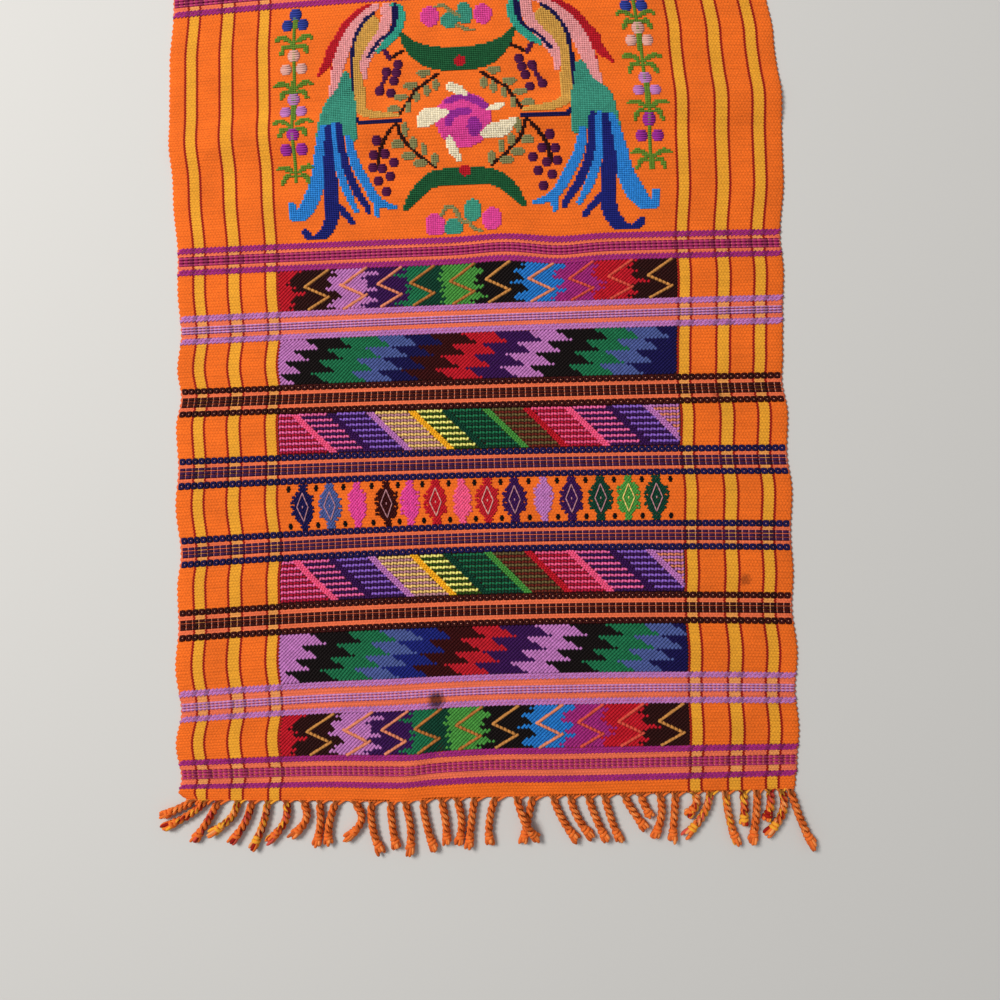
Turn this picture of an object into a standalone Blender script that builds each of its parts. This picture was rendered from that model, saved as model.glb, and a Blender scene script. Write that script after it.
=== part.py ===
"""A hand-woven table runner that lies flat, with a row of twisted cords at each end.

Metres, +Z up. The origin is the middle of the footprint, on the surface that the runner lies on.
+Y runs along the runner and the near fringe points to -Y. The far half is the near half turned half
a turn about Z, so both ends look the same to someone who faces them.

Lengths in the tables are millimetres. "Along" is measured from the near end of the cloth, and
"across" goes from -1 at the left edge to 1 at the right edge, seen from the near end.
"""
import math

import bpy
import numpy as np

MM = 0.001

# Driving dimensions
CLOTH_LENGTH = 1600.0
SHEET_THICKNESS = 1.5
CORD_STRIP_GAP = 0.3
CORD_STRIP_WIDTH = 1.8
CORD_ROOT_HALF_WIDTH = 2.2
CORD_SIDES = 4

# The outline and the way the weft lines run: skew is how far the right edge leads the middle, and
# bow is how far both edges lead the middle.
SECTION_COLUMNS = ("along", "left", "right", "skew", "bow")
SECTIONS = np.array(
    (
        (0, -210.0, 209.5, 1.5, 2.4),
        (6, -215.2, 210.2, 1.8, 1.5),
        (18, -213.3, 211.7, 2.5, -0.4),
        (45, -217.0, 214.0, 3.0, -3.0),
        (70, -213.0, 212.5, 3.4, -4.8),
        (100, -217.0, 215.0, 2.0, -5.5),
        (128, -214.5, 212.6, 1.8, -4.7),
        (155, -215.2, 214.5, 1.6, -5.2),
        (178, -212.4, 213.8, 1.0, -4.8),
        (210, -216.0, 216.0, 0.3, -3.4),
        (235, -213.8, 213.5, -1.1, -2.2),
        (262, -215.2, 215.2, -1.1, -1.1),
        (285, -211.4, 212.2, -1.0, -1.4),
        (305, -214.0, 213.6, -0.4, -1.8),
        (331, -211.0, 214.6, 0.3, -1.5),
        (362, -213.4, 216.4, -0.8, -1.4),
        (386, -213.0, 215.0, -1.5, -1.9),
        (430, -216.2, 219.0, -1.0, -3.0),
        (490, -218.5, 219.2, -0.5, -5.0),
        (535, -218.0, 216.0, 0.0, -7.0),
        (572, -214.8, 210.5, 0.0, -5.0),
        (650, -214.0, 213.0, 0.0, -4.0),
        (800, -215.0, 215.0, 0.0, 0.0),
    )
)

# Small local shifts of the weft lines, a row for each.
PULL_COLUMNS = ("x", "along", "half_width", "half_length", "shift")
PULLS = np.array(
    (
        (-68, 15, 30, 60, -1.6),
        (8, 15, 30, 55, 0.8),
        (20, 382, 22, 26, 1.8),
        (62, 382, 20, 24, -2.0),
    )
)

# Woven bands that stand above the ground. A line is one ridge from edge to edge, and a field is a
# raised panel between the inner warp stripes.
BAND_COLUMNS = ("kind", "start", "end", "rise")
BANDS = (
    ("line", 9.7, 13.7, 0.4),
    ("line", 28.6, 32.6, 0.4),
    ("field", 34.6, 60.6, 0.6),
    ("line", 62.1, 66.1, 0.4),
    ("line", 79.9, 83.9, 0.4),
    ("field", 86.4, 115.4, 0.6),
    ("line", 117.4, 121.8, 0.5),
    ("line", 134.8, 139.2, 0.5),
    ("field", 141.4, 166.6, 0.6),
    ("line", 168.4, 172.8, 0.5),
    ("line", 184.5, 188.9, 0.5),
    ("field", 190.9, 218.3, 0.6),
    ("line", 220.3, 224.7, 0.5),
    ("line", 236.4, 240.8, 0.5),
    ("field", 242.8, 267.6, 0.6),
    ("line", 269.5, 273.9, 0.5),
    ("line", 286.0, 290.4, 0.5),
    ("field", 292.4, 321.4, 0.6),
    ("line", 323.4, 327.4, 0.4),
    ("line", 339.6, 343.6, 0.4),
    ("field", 345.6, 370.4, 0.6),
    ("line", 372.2, 376.2, 0.4),
    ("line", 387.9, 391.9, 0.4),
    ("field", 394.0, 566.0, 0.5),
    ("line", 567.6, 571.6, 0.4),
    ("line", 584.6, 588.6, 0.4),
)
FIELD_SHOULDER = 1.0

# Soft folds, each a straight ridge from one point to another, given as x and along.
FOLD_COLUMNS = ("x_start", "along_start", "x_end", "along_end", "half_width", "height")
FOLDS = np.array(
    (
        (-430, 459, 440, 497, 24, 4.2),
        (-61, -2, -38, 66, 18, 3.2),
    )
)
# Rows of the cloth's grid that the bands don't give: one at the pulled-in corner, those over the long
# fold, and one in the plain middle of the runner.
CORNER_ROW = 6
FOLD_ROWS = (446, 458, 468, 478, 488, 499, 512)
PLAIN_ROW = 650

# The across values of the grid's lines on one side of the middle. A field falls to the ground
# between 0.645 and 0.66.
ACROSS_LINES = (0.10, 0.18, 0.27, 0.42, 0.645, 0.66, 1.0)
FIELD_EDGE = 0.65

# The cords of one end, from left to right: where each leaves the cloth, how far its middle bows to
# the right of the straight line, where its tip is, how far the tip is from the cloth's end, and how
# high its middle passes over the next cord.
CORD_COLUMNS = ("root", "bow", "tip", "reach", "over")
CORDS = np.array(
    (
        (-204.3, 1.3, -227.6, 10.4, 0),
        (-195.8, 4.2, -228.0, 19.2, 0),
        (-186.6, 1.4, -205.0, 28.0, 0),
        (-173.4, 6.0, -194.5, 23.2, 0),
        (-163.2, 3.5, -179.4, 29.2, 0),
        (-151.9, 2.5, -164.0, 33.5, 0),
        (-139.5, 6.8, -154.2, 28.7, 0),
        (-128.0, 7.7, -137.4, 25.1, 0),
        (-115.9, 2.3, -118.8, 31.2, 0),
        (-103.8, -2.1, -109.5, 30.6, 0),
        (-92.4, 9.4, -99.4, 25.9, 0),
        (-79.0, -3.3, -71.5, 36.4, 0),
        (-66.1, -0.9, -61.9, 33.3, 0),
        (-56.5, 2.8, -54.0, 36.5, 0),
        (-43.7, -1.5, -35.4, 35.1, 0),
        (-31.0, 1.4, -28.0, 31.4, 0),
        (-20.6, 3.4, -20.6, 32.2, 0),
        (-7.9, -0.4, -12.7, 35.5, 0),
        (6.4, -2.4, 2.1, 33.3, 0),
        (20.7, -1.6, 35.7, 30.5, 7.0),
        (32.1, -0.3, 24.4, 32.0, 0),
        (45.9, -2.2, 62.6, 30.9, 0),
        (57.8, -2.9, 72.6, 28.6, 0),
        (69.6, -0.9, 82.2, 31.5, 0),
        (80.9, -1.0, 91.4, 32.4, 0),
        (93.9, -0.8, 108.4, 23.0, 0),
        (104.8, -0.1, 111.6, 15.2, 0),
        (118.1, 3.5, 112.4, 30.3, 0),
        (128.9, 0.2, 125.4, 33.4, 0),
        (141.0, 4.6, 134.8, 15.4, 0),
        (152.2, 4.2, 132.8, 30.1, 0),
        (162.7, -1.6, 169.8, 36.1, 0),
        (174.2, 1.0, 173.4, 23.2, 0),
        (183.8, 1.0, 178.6, 36.6, 0),
        (191.8, 2.2, 188.2, 20.6, 0),
        (199.6, 6.6, 187.0, 31.0, 0),
        (206.0, -1.5, 220.8, 39.9, 0),
    )
)

# The form of every cord: the share of its length, the radius to a corner, and how far the section
# has turned. The end is a knot with a small tuft.
RING_COLUMNS = ("share", "radius", "turn")
RINGS = np.array(
    (
        (0.13, 2.35, 15),
        (0.30, 2.60, 55),
        (0.48, 2.60, 100),
        (0.66, 2.60, 145),
        (0.80, 2.40, 185),
        (0.90, 3.00, 215),
        (1.00, 1.70, 235),
    )
)

COTTON_ORANGE = (0.87, 0.15, 0.015, 1.0)
CORD_ORANGE = (0.82, 0.14, 0.015, 1.0)


def column(table, names, name):
    """One named column of a table."""
    return table[:, names.index(name)]


def section_value(along, name):
    """A section's value at each distance along, easing from one section to the next."""
    stations = column(SECTIONS, SECTION_COLUMNS, "along")
    values = column(SECTIONS, SECTION_COLUMNS, name)
    k = np.clip(np.searchsorted(stations, along, side="right") - 1, 0, len(stations) - 2)
    share = np.clip((along - stations[k]) / (stations[k + 1] - stations[k]), 0, 1)
    ease = share * share * (3 - 2 * share)
    return values[k] + (values[k + 1] - values[k]) * ease


def near_point(across, along):
    """x and y in mm of a place on the near half of the cloth."""
    across = np.asarray(across, float)
    along = np.asarray(along, float)
    left = section_value(along, "left")
    right = section_value(along, "right")
    x = (left + right) / 2 + across * (right - left) / 2
    y = along - CLOTH_LENGTH / 2
    y = y + section_value(along, "skew") * across + section_value(along, "bow") * across**2
    for row in PULLS:
        pull = dict(zip(PULL_COLUMNS, row))
        from_middle = (x - pull["x"]) / pull["half_width"]
        from_line = (along - pull["along"]) / pull["half_length"]
        y = y + pull["shift"] * np.exp(-(from_middle**2) - from_line**2)
    return x, y


def fold_lift(x, along):
    """Height in mm of the soft folds: a raised cosine across each ridge, a sine along it."""
    lift = np.zeros(np.broadcast(x, along).shape)
    for row in FOLDS:
        fold = dict(zip(FOLD_COLUMNS, row))
        run_x = fold["x_end"] - fold["x_start"]
        run_along = fold["along_end"] - fold["along_start"]
        length = math.hypot(run_x, run_along)
        gone_x = x - fold["x_start"]
        gone_along = along - fold["along_start"]
        share = (gone_x * run_x + gone_along * run_along) / length**2
        aside = (gone_along * run_x - gone_x * run_along) / length
        over = np.clip(np.abs(aside) / fold["half_width"], 0, 1)
        ends = np.sin(math.pi * np.clip(share, 0, 1))
        lift = lift + fold["height"] * ends * (1 + np.cos(math.pi * over)) / 2
    return lift


def row_table():
    """The rows of the cloth's grid for one half: along, line rise and field rise."""
    rows = [(along, 0.0, 0.0) for along in (0, CORNER_ROW, PLAIN_ROW, CLOTH_LENGTH / 2)]
    for row in BANDS:
        band = dict(zip(BAND_COLUMNS, row))
        start, end, rise = band["start"], band["end"], band["rise"]
        if band["kind"] == "line":
            rows += [(start, 0.0, 0.0), ((start + end) / 2, rise, 0.0), (end, 0.0, 0.0)]
        else:
            rows += [(start + FIELD_SHOULDER, 0.0, rise), (end - FIELD_SHOULDER, 0.0, rise)]
            rows += [(along, 0.0, rise) for along in FOLD_ROWS if start < along < end]
    return np.array(sorted(rows))


def across_lines():
    """Where the grid's lines run along the cloth, the same on both sides of its middle."""
    right = np.array(ACROSS_LINES)
    return np.concatenate([-right[::-1], [0.0], right])


def half_grid(across):
    """x, y, underside height and top height for one half, a row for each line of the grid."""
    along, line_rise, field_rise = row_table().T
    across, along = np.broadcast_arrays(across[None, :], along[:, None])
    x, y = near_point(across, along)
    under = fold_lift(x, along)
    in_field = np.abs(across) < FIELD_EDGE
    rise = line_rise[:, None] + field_rise[:, None] * in_field
    return x, y, under, under + SHEET_THICKNESS + rise


def cloth_grid():
    """The whole cloth's underside and top points, near end first."""
    across = across_lines()
    x, y, under, top = half_grid(across)
    # The far half is the near one turned about Z, so its left edge is the near half's right edge.
    far = slice(-2, None, -1)
    x = np.concatenate([x, -x[far, ::-1]])
    y = np.concatenate([y, -y[far, ::-1]])
    under = np.concatenate([under, under[far, ::-1]])
    top = np.concatenate([top, top[far, ::-1]])
    return np.stack([x, y, under], -1), np.stack([x, y, top], -1)


def make_cloth():
    """One closed sheet: the top grid, the underside grid and the wall between their rims."""
    under, top = cloth_grid()
    rows, columns = top.shape[:2]
    index = np.arange(rows * columns).reshape(rows, columns)
    base = index + rows * columns
    faces = []
    for grid, flipped in ((index, False), (base, True)):
        quads = np.stack([grid[:-1, :-1], grid[:-1, 1:], grid[1:, 1:], grid[1:, :-1]], -1)
        quads = quads.reshape(-1, 4)
        faces += (quads[:, ::-1] if flipped else quads).tolist()
    rim = np.concatenate([np.arange(columns), (np.arange(1, rows) + 1) * columns - 1])
    rim = np.concatenate([rim, rows * columns - 1 - np.arange(1, columns)])
    rim = np.concatenate([rim, np.arange(rows - 2, 0, -1) * columns])
    after = np.roll(rim, -1)
    wall = np.stack([rim, rim + rows * columns, after + rows * columns, after], -1)
    faces += wall.tolist()
    points = np.concatenate([top.reshape(-1, 3), under.reshape(-1, 3)])
    return add_object("cloth", points, faces, make_finish("woven cotton", COTTON_ORANGE, 0.9))


def end_line(x):
    """y of the cloth's near end at each x, along the straight runs between the grid's lines."""
    end_x, end_y = near_point(across_lines(), 0.0)
    return np.interp(x, end_x, end_y)


def cord_path(cord):
    """Points of a cord's middle line for the shares in RINGS, and the heading there."""
    start = np.array([cord["root"], end_line(cord["root"]) - CORD_STRIP_GAP - CORD_STRIP_WIDTH])
    tip = np.array([cord["tip"], end_line(cord["root"]) - cord["reach"]])
    control = (start + tip) / 2 + np.array([2 * cord["bow"], 0.0])
    share = column(RINGS, RING_COLUMNS, "share")[:, None]
    points = (1 - share) ** 2 * start + 2 * share * (1 - share) * control + share**2 * tip
    heading = 2 * (1 - share) * (control - start) + 2 * share * (tip - control)
    heading /= np.linalg.norm(heading, axis=1, keepdims=True)
    return points, heading


def cord_rings(cord):
    """The turned four-sided sections of a cord. Each one's lowest corner is on the surface."""
    points, heading = cord_path(cord)
    corner = np.radians([-135.0, -45.0, 45.0, 135.0])
    rings = []
    for (share, radius, turn), place, ahead in zip(RINGS, points, heading):
        side = np.array([-ahead[1], ahead[0]])
        angle = corner + math.radians(turn)
        lowest = radius * np.max(-np.sin(angle))
        lift = lowest + cord["over"] * math.sin(math.pi * share) ** 2
        flat = place + radius * np.cos(angle)[:, None] * side
        rings.append(np.column_stack([flat, lift + radius * np.sin(angle)]))
    return rings


def make_fringe(name, half_turn):
    """A narrow strip along the cloth's end with every cord grown out of its outer wall."""
    left, right = near_point(np.array([-1.0, 1.0]), 0.0)[0]
    roots = column(CORDS, CORD_COLUMNS, "root")
    stations = np.sort(
        np.concatenate(
            [[left, right], roots - CORD_ROOT_HALF_WIDTH, roots + CORD_ROOT_HALF_WIDTH]
        )
    )
    back = end_line(stations) - CORD_STRIP_GAP
    front = back - CORD_STRIP_WIDTH
    points = []
    for x, y_front, y_back in zip(stations, front, back):
        points += [(x, y_front, 0.0), (x, y_front, SHEET_THICKNESS)]
        points += [(x, y_back, SHEET_THICKNESS), (x, y_back, 0.0)]
    last = len(stations) - 1
    faces = [(0, 1, 2, 3), (4 * last + 3, 4 * last + 2, 4 * last + 1, 4 * last)]
    for k in range(last):
        here = 4 * k
        there = here + 4
        faces += [(here + 1, there + 1, there + 2, here + 2)]
        faces += [(here + 2, there + 2, there + 3, here + 3)]
        faces += [(here + 3, there + 3, there, here)]
        if k % 2 == 0:
            faces += [(here, there, there + 1, here + 1)]
    for number, row in enumerate(CORDS):
        cord = dict(zip(CORD_COLUMNS, row))
        here = 4 * (2 * number + 1)
        ring = [here, here + 4, here + 5, here + 1]
        for section in cord_rings(cord):
            fresh = [len(points) + k for k in range(CORD_SIDES)]
            points += section.tolist()
            for k in range(CORD_SIDES):
                after = (k + 1) % CORD_SIDES
                faces += [(ring[k], ring[after], fresh[after], fresh[k])]
            ring = fresh
        faces += [tuple(ring)]
    points = np.array(points)
    if half_turn:
        points[:, :2] *= -1
    return add_object(name, points, faces, make_finish(name, CORD_ORANGE, 0.85))


def make_finish(name, colour, roughness):
    """A plain cotton material."""
    finish = bpy.data.materials.new(name)
    finish.use_nodes = True
    shader = finish.node_tree.nodes["Principled BSDF"]
    shader.inputs["Base Color"].default_value = colour
    shader.inputs["Roughness"].default_value = roughness
    shader.inputs["Metallic"].default_value = 0.0
    return finish


def add_object(name, points_mm, faces, finish):
    """A mesh object at the origin, from points in mm."""
    mesh = bpy.data.meshes.new(name)
    mesh.from_pydata((np.asarray(points_mm) * MM).tolist(), [], faces)
    mesh.materials.append(finish)
    mesh.validate()
    mesh.update()
    made = bpy.data.objects.new(name, mesh)
    bpy.context.scene.collection.objects.link(made)
    return made


def main():
    for old in list(bpy.data.objects):
        bpy.data.objects.remove(old)
    make_cloth()
    make_fringe("fringe_front", half_turn=False)
    make_fringe("fringe_back", half_turn=True)


main()
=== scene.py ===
# %% [markdown]
# # A hand-woven table runner
# The runner lies flat on a pale floor. It is one length of weft-faced cotton cloth: thick weft threads
# hide the warp, so the face is a row of fine ribs. Bands of brocade are woven in with extra coloured
# threads that float over the ribs, and the warp ends are twisted into cords at both ends.
#
# The lesson builds it in that order: the cloth first, then every float thread as a small closed shape
# laid on the cloth by a formula, then the cords, and then the finishes, the light and the camera.

import math

import bpy
import numpy as np
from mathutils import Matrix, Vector


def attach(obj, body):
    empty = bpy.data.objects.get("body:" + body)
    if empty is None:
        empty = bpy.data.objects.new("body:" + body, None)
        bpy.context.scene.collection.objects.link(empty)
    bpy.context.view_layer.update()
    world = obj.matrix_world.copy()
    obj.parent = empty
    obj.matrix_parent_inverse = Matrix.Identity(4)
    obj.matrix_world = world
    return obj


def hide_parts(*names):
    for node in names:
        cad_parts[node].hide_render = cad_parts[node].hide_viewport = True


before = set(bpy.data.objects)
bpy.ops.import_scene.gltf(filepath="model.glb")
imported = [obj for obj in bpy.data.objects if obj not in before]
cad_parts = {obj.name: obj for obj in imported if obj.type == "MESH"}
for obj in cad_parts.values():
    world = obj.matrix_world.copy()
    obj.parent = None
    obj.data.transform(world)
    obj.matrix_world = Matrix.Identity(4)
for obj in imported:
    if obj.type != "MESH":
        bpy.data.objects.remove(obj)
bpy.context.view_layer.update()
print("nodes:", sorted(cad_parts))

# %% [markdown]
# ## Sizes
# A weaver plans a cloth in millimetres, so every table below is in millimetres and only the last step
# turns points into metres. "Along" is the distance from the near end of the cloth, and "across" is
# measured from its middle on the loom, before the hand-beaten edges pull it in and out.

# %% Driving sizes
MM = 0.001
CLOTH_WIDTH = 430.0
CLOTH_LENGTH = 1600.0
HALF_WIDTH = CLOTH_WIDTH / 2
HALF_LENGTH = CLOTH_LENGTH / 2
SHEET_THICKNESS = 1.5
RIB_PITCH = 2.0
RIB_HEIGHT = 0.08
FIELD_LIMIT = 141.0
SEED = 11
print("cloth", CLOTH_WIDTH, "x", CLOTH_LENGTH, "mm, ribs", RIB_PITCH, "mm apart")

# %% [markdown]
# ## How the cloth lies
# A hand-woven cloth is never a true rectangle. Its edges pull in under the tight bands, its weft lines
# bow, and it keeps soft folds. The tables hold the edges and the weft lines at stations along the near
# half, and the functions ease from one station to the next. The far half is the near half turned half
# a turn, so both ends look the same to someone who faces them.

# %% Stations, pulls and folds
SECTION_COLUMNS = ("along", "left", "right", "skew", "bow")
SECTIONS = np.array(
    (
        (0, -215.2, 210.2, 1.5, 2.4),
        (6, -215.2, 210.2, 1.8, 1.5),
        (18, -213.3, 211.7, 2.5, -0.4),
        (45, -217.0, 214.0, 3.0, -3.0),
        (70, -213.0, 212.5, 3.4, -4.8),
        (100, -217.0, 215.0, 2.0, -5.5),
        (128, -214.5, 212.6, 1.8, -4.7),
        (155, -215.2, 214.5, 1.6, -5.2),
        (178, -212.4, 213.8, 1.0, -4.8),
        (210, -216.0, 216.0, 0.3, -3.4),
        (235, -213.8, 213.5, -1.1, -2.2),
        (262, -215.2, 215.2, -1.1, -1.1),
        (285, -211.4, 212.2, -1.0, -1.4),
        (305, -214.0, 213.6, -0.4, -1.8),
        (331, -211.0, 214.6, 0.3, -1.5),
        (362, -213.4, 216.4, -0.8, -1.4),
        (386, -213.0, 215.0, -1.5, -1.9),
        (430, -216.2, 219.0, -1.0, -3.0),
        (490, -218.5, 219.2, -0.5, -5.0),
        (535, -218.0, 216.0, 0.0, -7.0),
        (572, -214.8, 210.5, 0.0, -5.0),
        (650, -214.0, 213.0, 0.0, -4.0),
        (800, -215.0, 215.0, 0.0, 0.0),
    )
)

# The last few ribs narrow towards the corners: how far each side moves in, over how many mm along,
# and how far in from the edge the move dies away. The stripes stay where they are.
CORNER_PULL = (5.2, -0.7)
CORNER_ROWS = 6.0
CORNER_REACH = 8.0

PULL_COLUMNS = ("x", "along", "half_width", "half_length", "shift")
PULLS = np.array(
    (
        (-68, 15, 30, 60, -1.6),
        (8, 15, 30, 55, 0.8),
        (20, 382, 22, 26, 1.8),
        (62, 382, 20, 24, -2.0),
    )
)

FOLD_COLUMNS = ("x_start", "along_start", "x_end", "along_end", "half_width", "height")
FOLDS = np.array(
    (
        (-430, 459, 440, 497, 24, 4.2),
        (-61, -2, -38, 66, 18, 3.2),
    )
)
print(len(SECTIONS), "stations,", len(PULLS), "pulls,", len(FOLDS), "folds")

# %% [markdown]
# The next functions turn a place on the loom into a place on the floor. Folds sculpted by hand could
# look as good, but no thread could then be laid on them by sums. As formulas, the cloth and every
# thread share them.


# %% From the loom to the floor
def section_value(along, name):
    """A station's value at each distance along: a smoothstep, 3t^2 - 2t^3, from one to the next."""
    stations = SECTIONS[:, 0]
    values = SECTIONS[:, SECTION_COLUMNS.index(name)]
    k = np.clip(np.searchsorted(stations, along, side="right") - 1, 0, len(stations) - 2)
    share = np.clip((along - stations[k]) / (stations[k + 1] - stations[k]), 0, 1)
    ease = share * share * (3 - 2 * share)
    return values[k] + (values[k + 1] - values[k]) * ease


def near_point(across, along):
    """x and y of a place on the near half: across runs from -1 to 1 between the edges, and a weft line
    leans by skew, bows with the square of across, and shifts by a bell curve at each pull."""
    left = section_value(along, "left")
    right = section_value(along, "right")
    x = (left + right) / 2 + across * (right - left) / 2
    share = np.clip(along / CORNER_ROWS, 0, 1)
    ease = 1 - share * share * (3 - 2 * share)
    for side, pull in zip((-1, 1), CORNER_PULL):
        x = x + pull * ease * np.exp(-(((across - side) * HALF_WIDTH / CORNER_REACH) ** 2))
    y = along - HALF_LENGTH
    y = y + section_value(along, "skew") * across + section_value(along, "bow") * across**2
    for row in PULLS:
        pull = dict(zip(PULL_COLUMNS, row))
        from_middle = (x - pull["x"]) / pull["half_width"]
        from_line = (along - pull["along"]) / pull["half_length"]
        y = y + pull["shift"] * np.exp(-(from_middle**2) - from_line**2)
    return x, y


def fold_lift(x, along):
    """Height of the soft folds: a raised cosine across each ridge and a sine along it."""
    lift = np.zeros(np.broadcast(x, along).shape)
    for row in FOLDS:
        fold = dict(zip(FOLD_COLUMNS, row))
        run_x = fold["x_end"] - fold["x_start"]
        run_along = fold["along_end"] - fold["along_start"]
        length = math.hypot(run_x, run_along)
        gone_x = x - fold["x_start"]
        gone_along = along - fold["along_start"]
        share = (gone_x * run_x + gone_along * run_along) / length**2
        aside = (gone_along * run_x - gone_x * run_along) / length
        over = np.clip(np.abs(aside) / fold["half_width"], 0, 1)
        ends = np.sin(math.pi * np.clip(share, 0, 1))
        lift = lift + fold["height"] * ends * (1 + np.cos(math.pi * over)) / 2
    return lift


print("the long fold lifts", round(float(fold_lift(np.array(0.0), np.array(478.0))), 1), "mm")

# %% [markdown]
# The cloth's face is a mesh of flat pieces, and a thread laid on the smooth formula would dip under
# them between two columns of points. So the threads read the height at the face's own columns.

# %% Columns of the face, and places on it
# The columns stand closer together where the short fold runs.
EDGE_COLUMNS = (215.0, 213.6, 209.0, 198.0, 186.0, 173.0, 160.0, 146.0, 131.0, 116.0, 101.0)
CREASE_COLUMNS = tuple(np.arange(90.0, 11.0, -6.0))
SIDE_COLUMNS = np.array(EDGE_COLUMNS + CREASE_COLUMNS)
TOP_ACROSS = np.concatenate([-SIDE_COLUMNS, [0.0], SIDE_COLUMNS[::-1]])


def on_cloth(across, along, height):
    """Points in mm on the near half, from across in loom millimetres and a height over the face. The
    face is straight between its columns, so the folds' lift is read at the columns on both sides and
    shared out by distance, and every thread lies on the face."""
    x, y = near_point(across / HALF_WIDTH, along)
    k = np.clip(np.searchsorted(TOP_ACROSS, across) - 1, 0, len(TOP_ACROSS) - 2)
    before, after = TOP_ACROSS[k], TOP_ACROSS[k + 1]
    share = (across - before) / (after - before)
    lift_before = fold_lift(near_point(before / HALF_WIDTH, along)[0], along)
    lift_after = fold_lift(near_point(after / HALF_WIDTH, along)[0], along)
    lift = lift_before + (lift_after - lift_before) * share
    return np.stack([x, y, lift + SHEET_THICKNESS + height], -1)


# The near half turned half a turn about Z gives the far half.
HALF_TURN = np.array([-1.0, -1.0, 1.0])

print("end edges at x =", np.round(near_point(np.array([-1.0, 1.0]), 0.0)[0], 1))

# %% [markdown]
# ## Putting arrays into a mesh
# Blender takes points and faces as flat arrays, which is far quicker than one call a point. The helper
# takes points in millimetres and any number of face arrays, one for triangles, one for quads and so
# on, and it can carry a colour for every point.


# %% Mesh helper
def make_piece(name, points_mm, face_arrays, finish, colours=None, smooth=True):
    """A mesh object at the origin. Each face array holds one face a row, corners turning left seen from
    outside."""
    mesh = bpy.data.meshes.new(name)
    corners = np.concatenate([faces.ravel() for faces in face_arrays])
    sizes = np.concatenate([np.full(len(faces), faces.shape[1]) for faces in face_arrays])
    mesh.vertices.add(len(points_mm))
    mesh.vertices.foreach_set("co", (points_mm * MM).astype(np.float32).ravel())
    mesh.loops.add(len(corners))
    mesh.loops.foreach_set("vertex_index", corners.astype(np.int32))
    mesh.polygons.add(len(sizes))
    starts = np.concatenate([[0], np.cumsum(sizes)[:-1]])
    mesh.polygons.foreach_set("loop_start", starts.astype(np.int32))
    mesh.update(calc_edges=True)
    mesh.polygons.foreach_set("use_smooth", np.full(len(sizes), smooth))
    if colours is not None:
        layer = mesh.color_attributes.new("thread", "FLOAT_COLOR", "POINT")
        layer.data.foreach_set("color", colours.astype(np.float32).ravel())
    mesh.materials.append(finish)
    made = bpy.data.objects.new(name, mesh)
    bpy.context.scene.collection.objects.link(made)
    triangles = int(np.sum(sizes - 2))
    print(name, len(points_mm), "points,", triangles, "triangles")
    return made


# %% [markdown]
# ## Dyes
# Each thread colour is written as a designer would, as an sRGB hex value. Blender's shaders work with
# linear light, so one function turns the hex value into linear numbers, and everything else asks for
# a dye by name.

# %% Thread colours
DYES = {
    "orange": "F66F1D",
    "salmon": "F07252",
    "peach": "EE9858",
    "yellow": "F0A32C",
    "stripe red": "9A1408",
    "magenta": "A02878",
    "magenta pale": "F08A78",
    "magenta dark": "8A1C50",
    "raspberry": "B03268",
    "lilac": "C07ABA",
    "lilac light": "CC8CC0",
    "lilac dark": "7A3A84",
    "maroon": "380506",
    "navy": "16104A",
    "plum": "3A1440",
    "black": "120A0A",
    "speck": "D09078",
    "red": "BE1626",
    "crimson": "AE1232",
    "pink": "F05C88",
    "rose": "EE6AA4",
    "violet": "8E62C4",
    "purple": "38104E",
    "grape": "521444",
    "cream": "F4CC78",
    "tan": "C08890",
    "gold": "F6B420",
    "lemon": "F6EE80",
    "moss": "2C4A12",
    "pine": "0A3E2C",
    "forest": "1C5A34",
    "green": "1C7048",
    "leaf": "4A943E",
    "olive": "6A5A34",
    "brown": "6A2418",
    "slate": "4E5C96",
    "sky": "2478C4",
    "bright blue": "2E88D6",
    "blue": "1A2274",
    "flame red": "BC1A28",
    "teal": "3F967F",
    "aqua": "34A48C",
    "sage": "8C8858",
    "bronze": "C88844",
    "umber": "B67034",
    "clay": "E08662",
    "coral": "D4503E",
    "sand": "D6A24C",
    "blush": "EEA0A0",
    "shell": "DEA89C",
    "fuchsia": "E2489A",
    "orchid": "9C2C96",
    "ecru": "F2E4C4",
    "bark": "2C0A08",
    "berry": "2C3C90",
    "fern": "66882C",
    "cord": "EA7028",
    # A lit and a shaded copy of the cord's orange: painted highlight and painted shade on single strands.
    "cord painted shade": "CA5A20",
    "cord painted highlight": "F28C46",
}

DYE_NAMES = list(DYES)


def linear(hex_colour):
    """sRGB hex to linear RGBA: (c / 12.92) when dark, else ((c + 0.055) / 1.055) ^ 2.4."""
    values = [int(hex_colour[k : k + 2], 16) / 255 for k in (0, 2, 4)]
    light = [c / 12.92 if c <= 0.04045 else ((c + 0.055) / 1.055) ** 2.4 for c in values]
    return (*light, 1.0)


def dye(name):
    """The number of a dye in the table, which float threads carry."""
    return DYE_NAMES.index(name)


DYE_LIGHT = np.array([linear(value) for value in DYES.values()])
BARE = -1
print(len(DYES), "dyes")

# %% [markdown]
# ## Nodes with one helper
# A finish is a small graph of nodes. One function adds any node, sets its properties and fills or
# links its sockets, so a finish reads as a list of what it does.

# %% Node helper
SHADER = "Principled BSDF"


def add_node(tree, kind, sockets=None, **settings):
    """Add a node. settings are its properties, and sockets maps an input's name or number to a value or
    to another node's output."""
    made = tree.nodes.new(kind)
    for name, value in settings.items():
        setattr(made, name, value)
    for socket, value in (sockets or {}).items():
        if isinstance(value, bpy.types.NodeSocket):
            tree.links.new(value, made.inputs[socket])
        else:
            made.inputs[socket].default_value = value
    return made


def new_finish(name):
    """An empty material: its tree and its shader."""
    finish = bpy.data.materials.new(name)
    finish.use_nodes = True
    return finish, finish.node_tree, finish.node_tree.nodes[SHADER]


print("every finish starts from one", SHADER)


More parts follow.
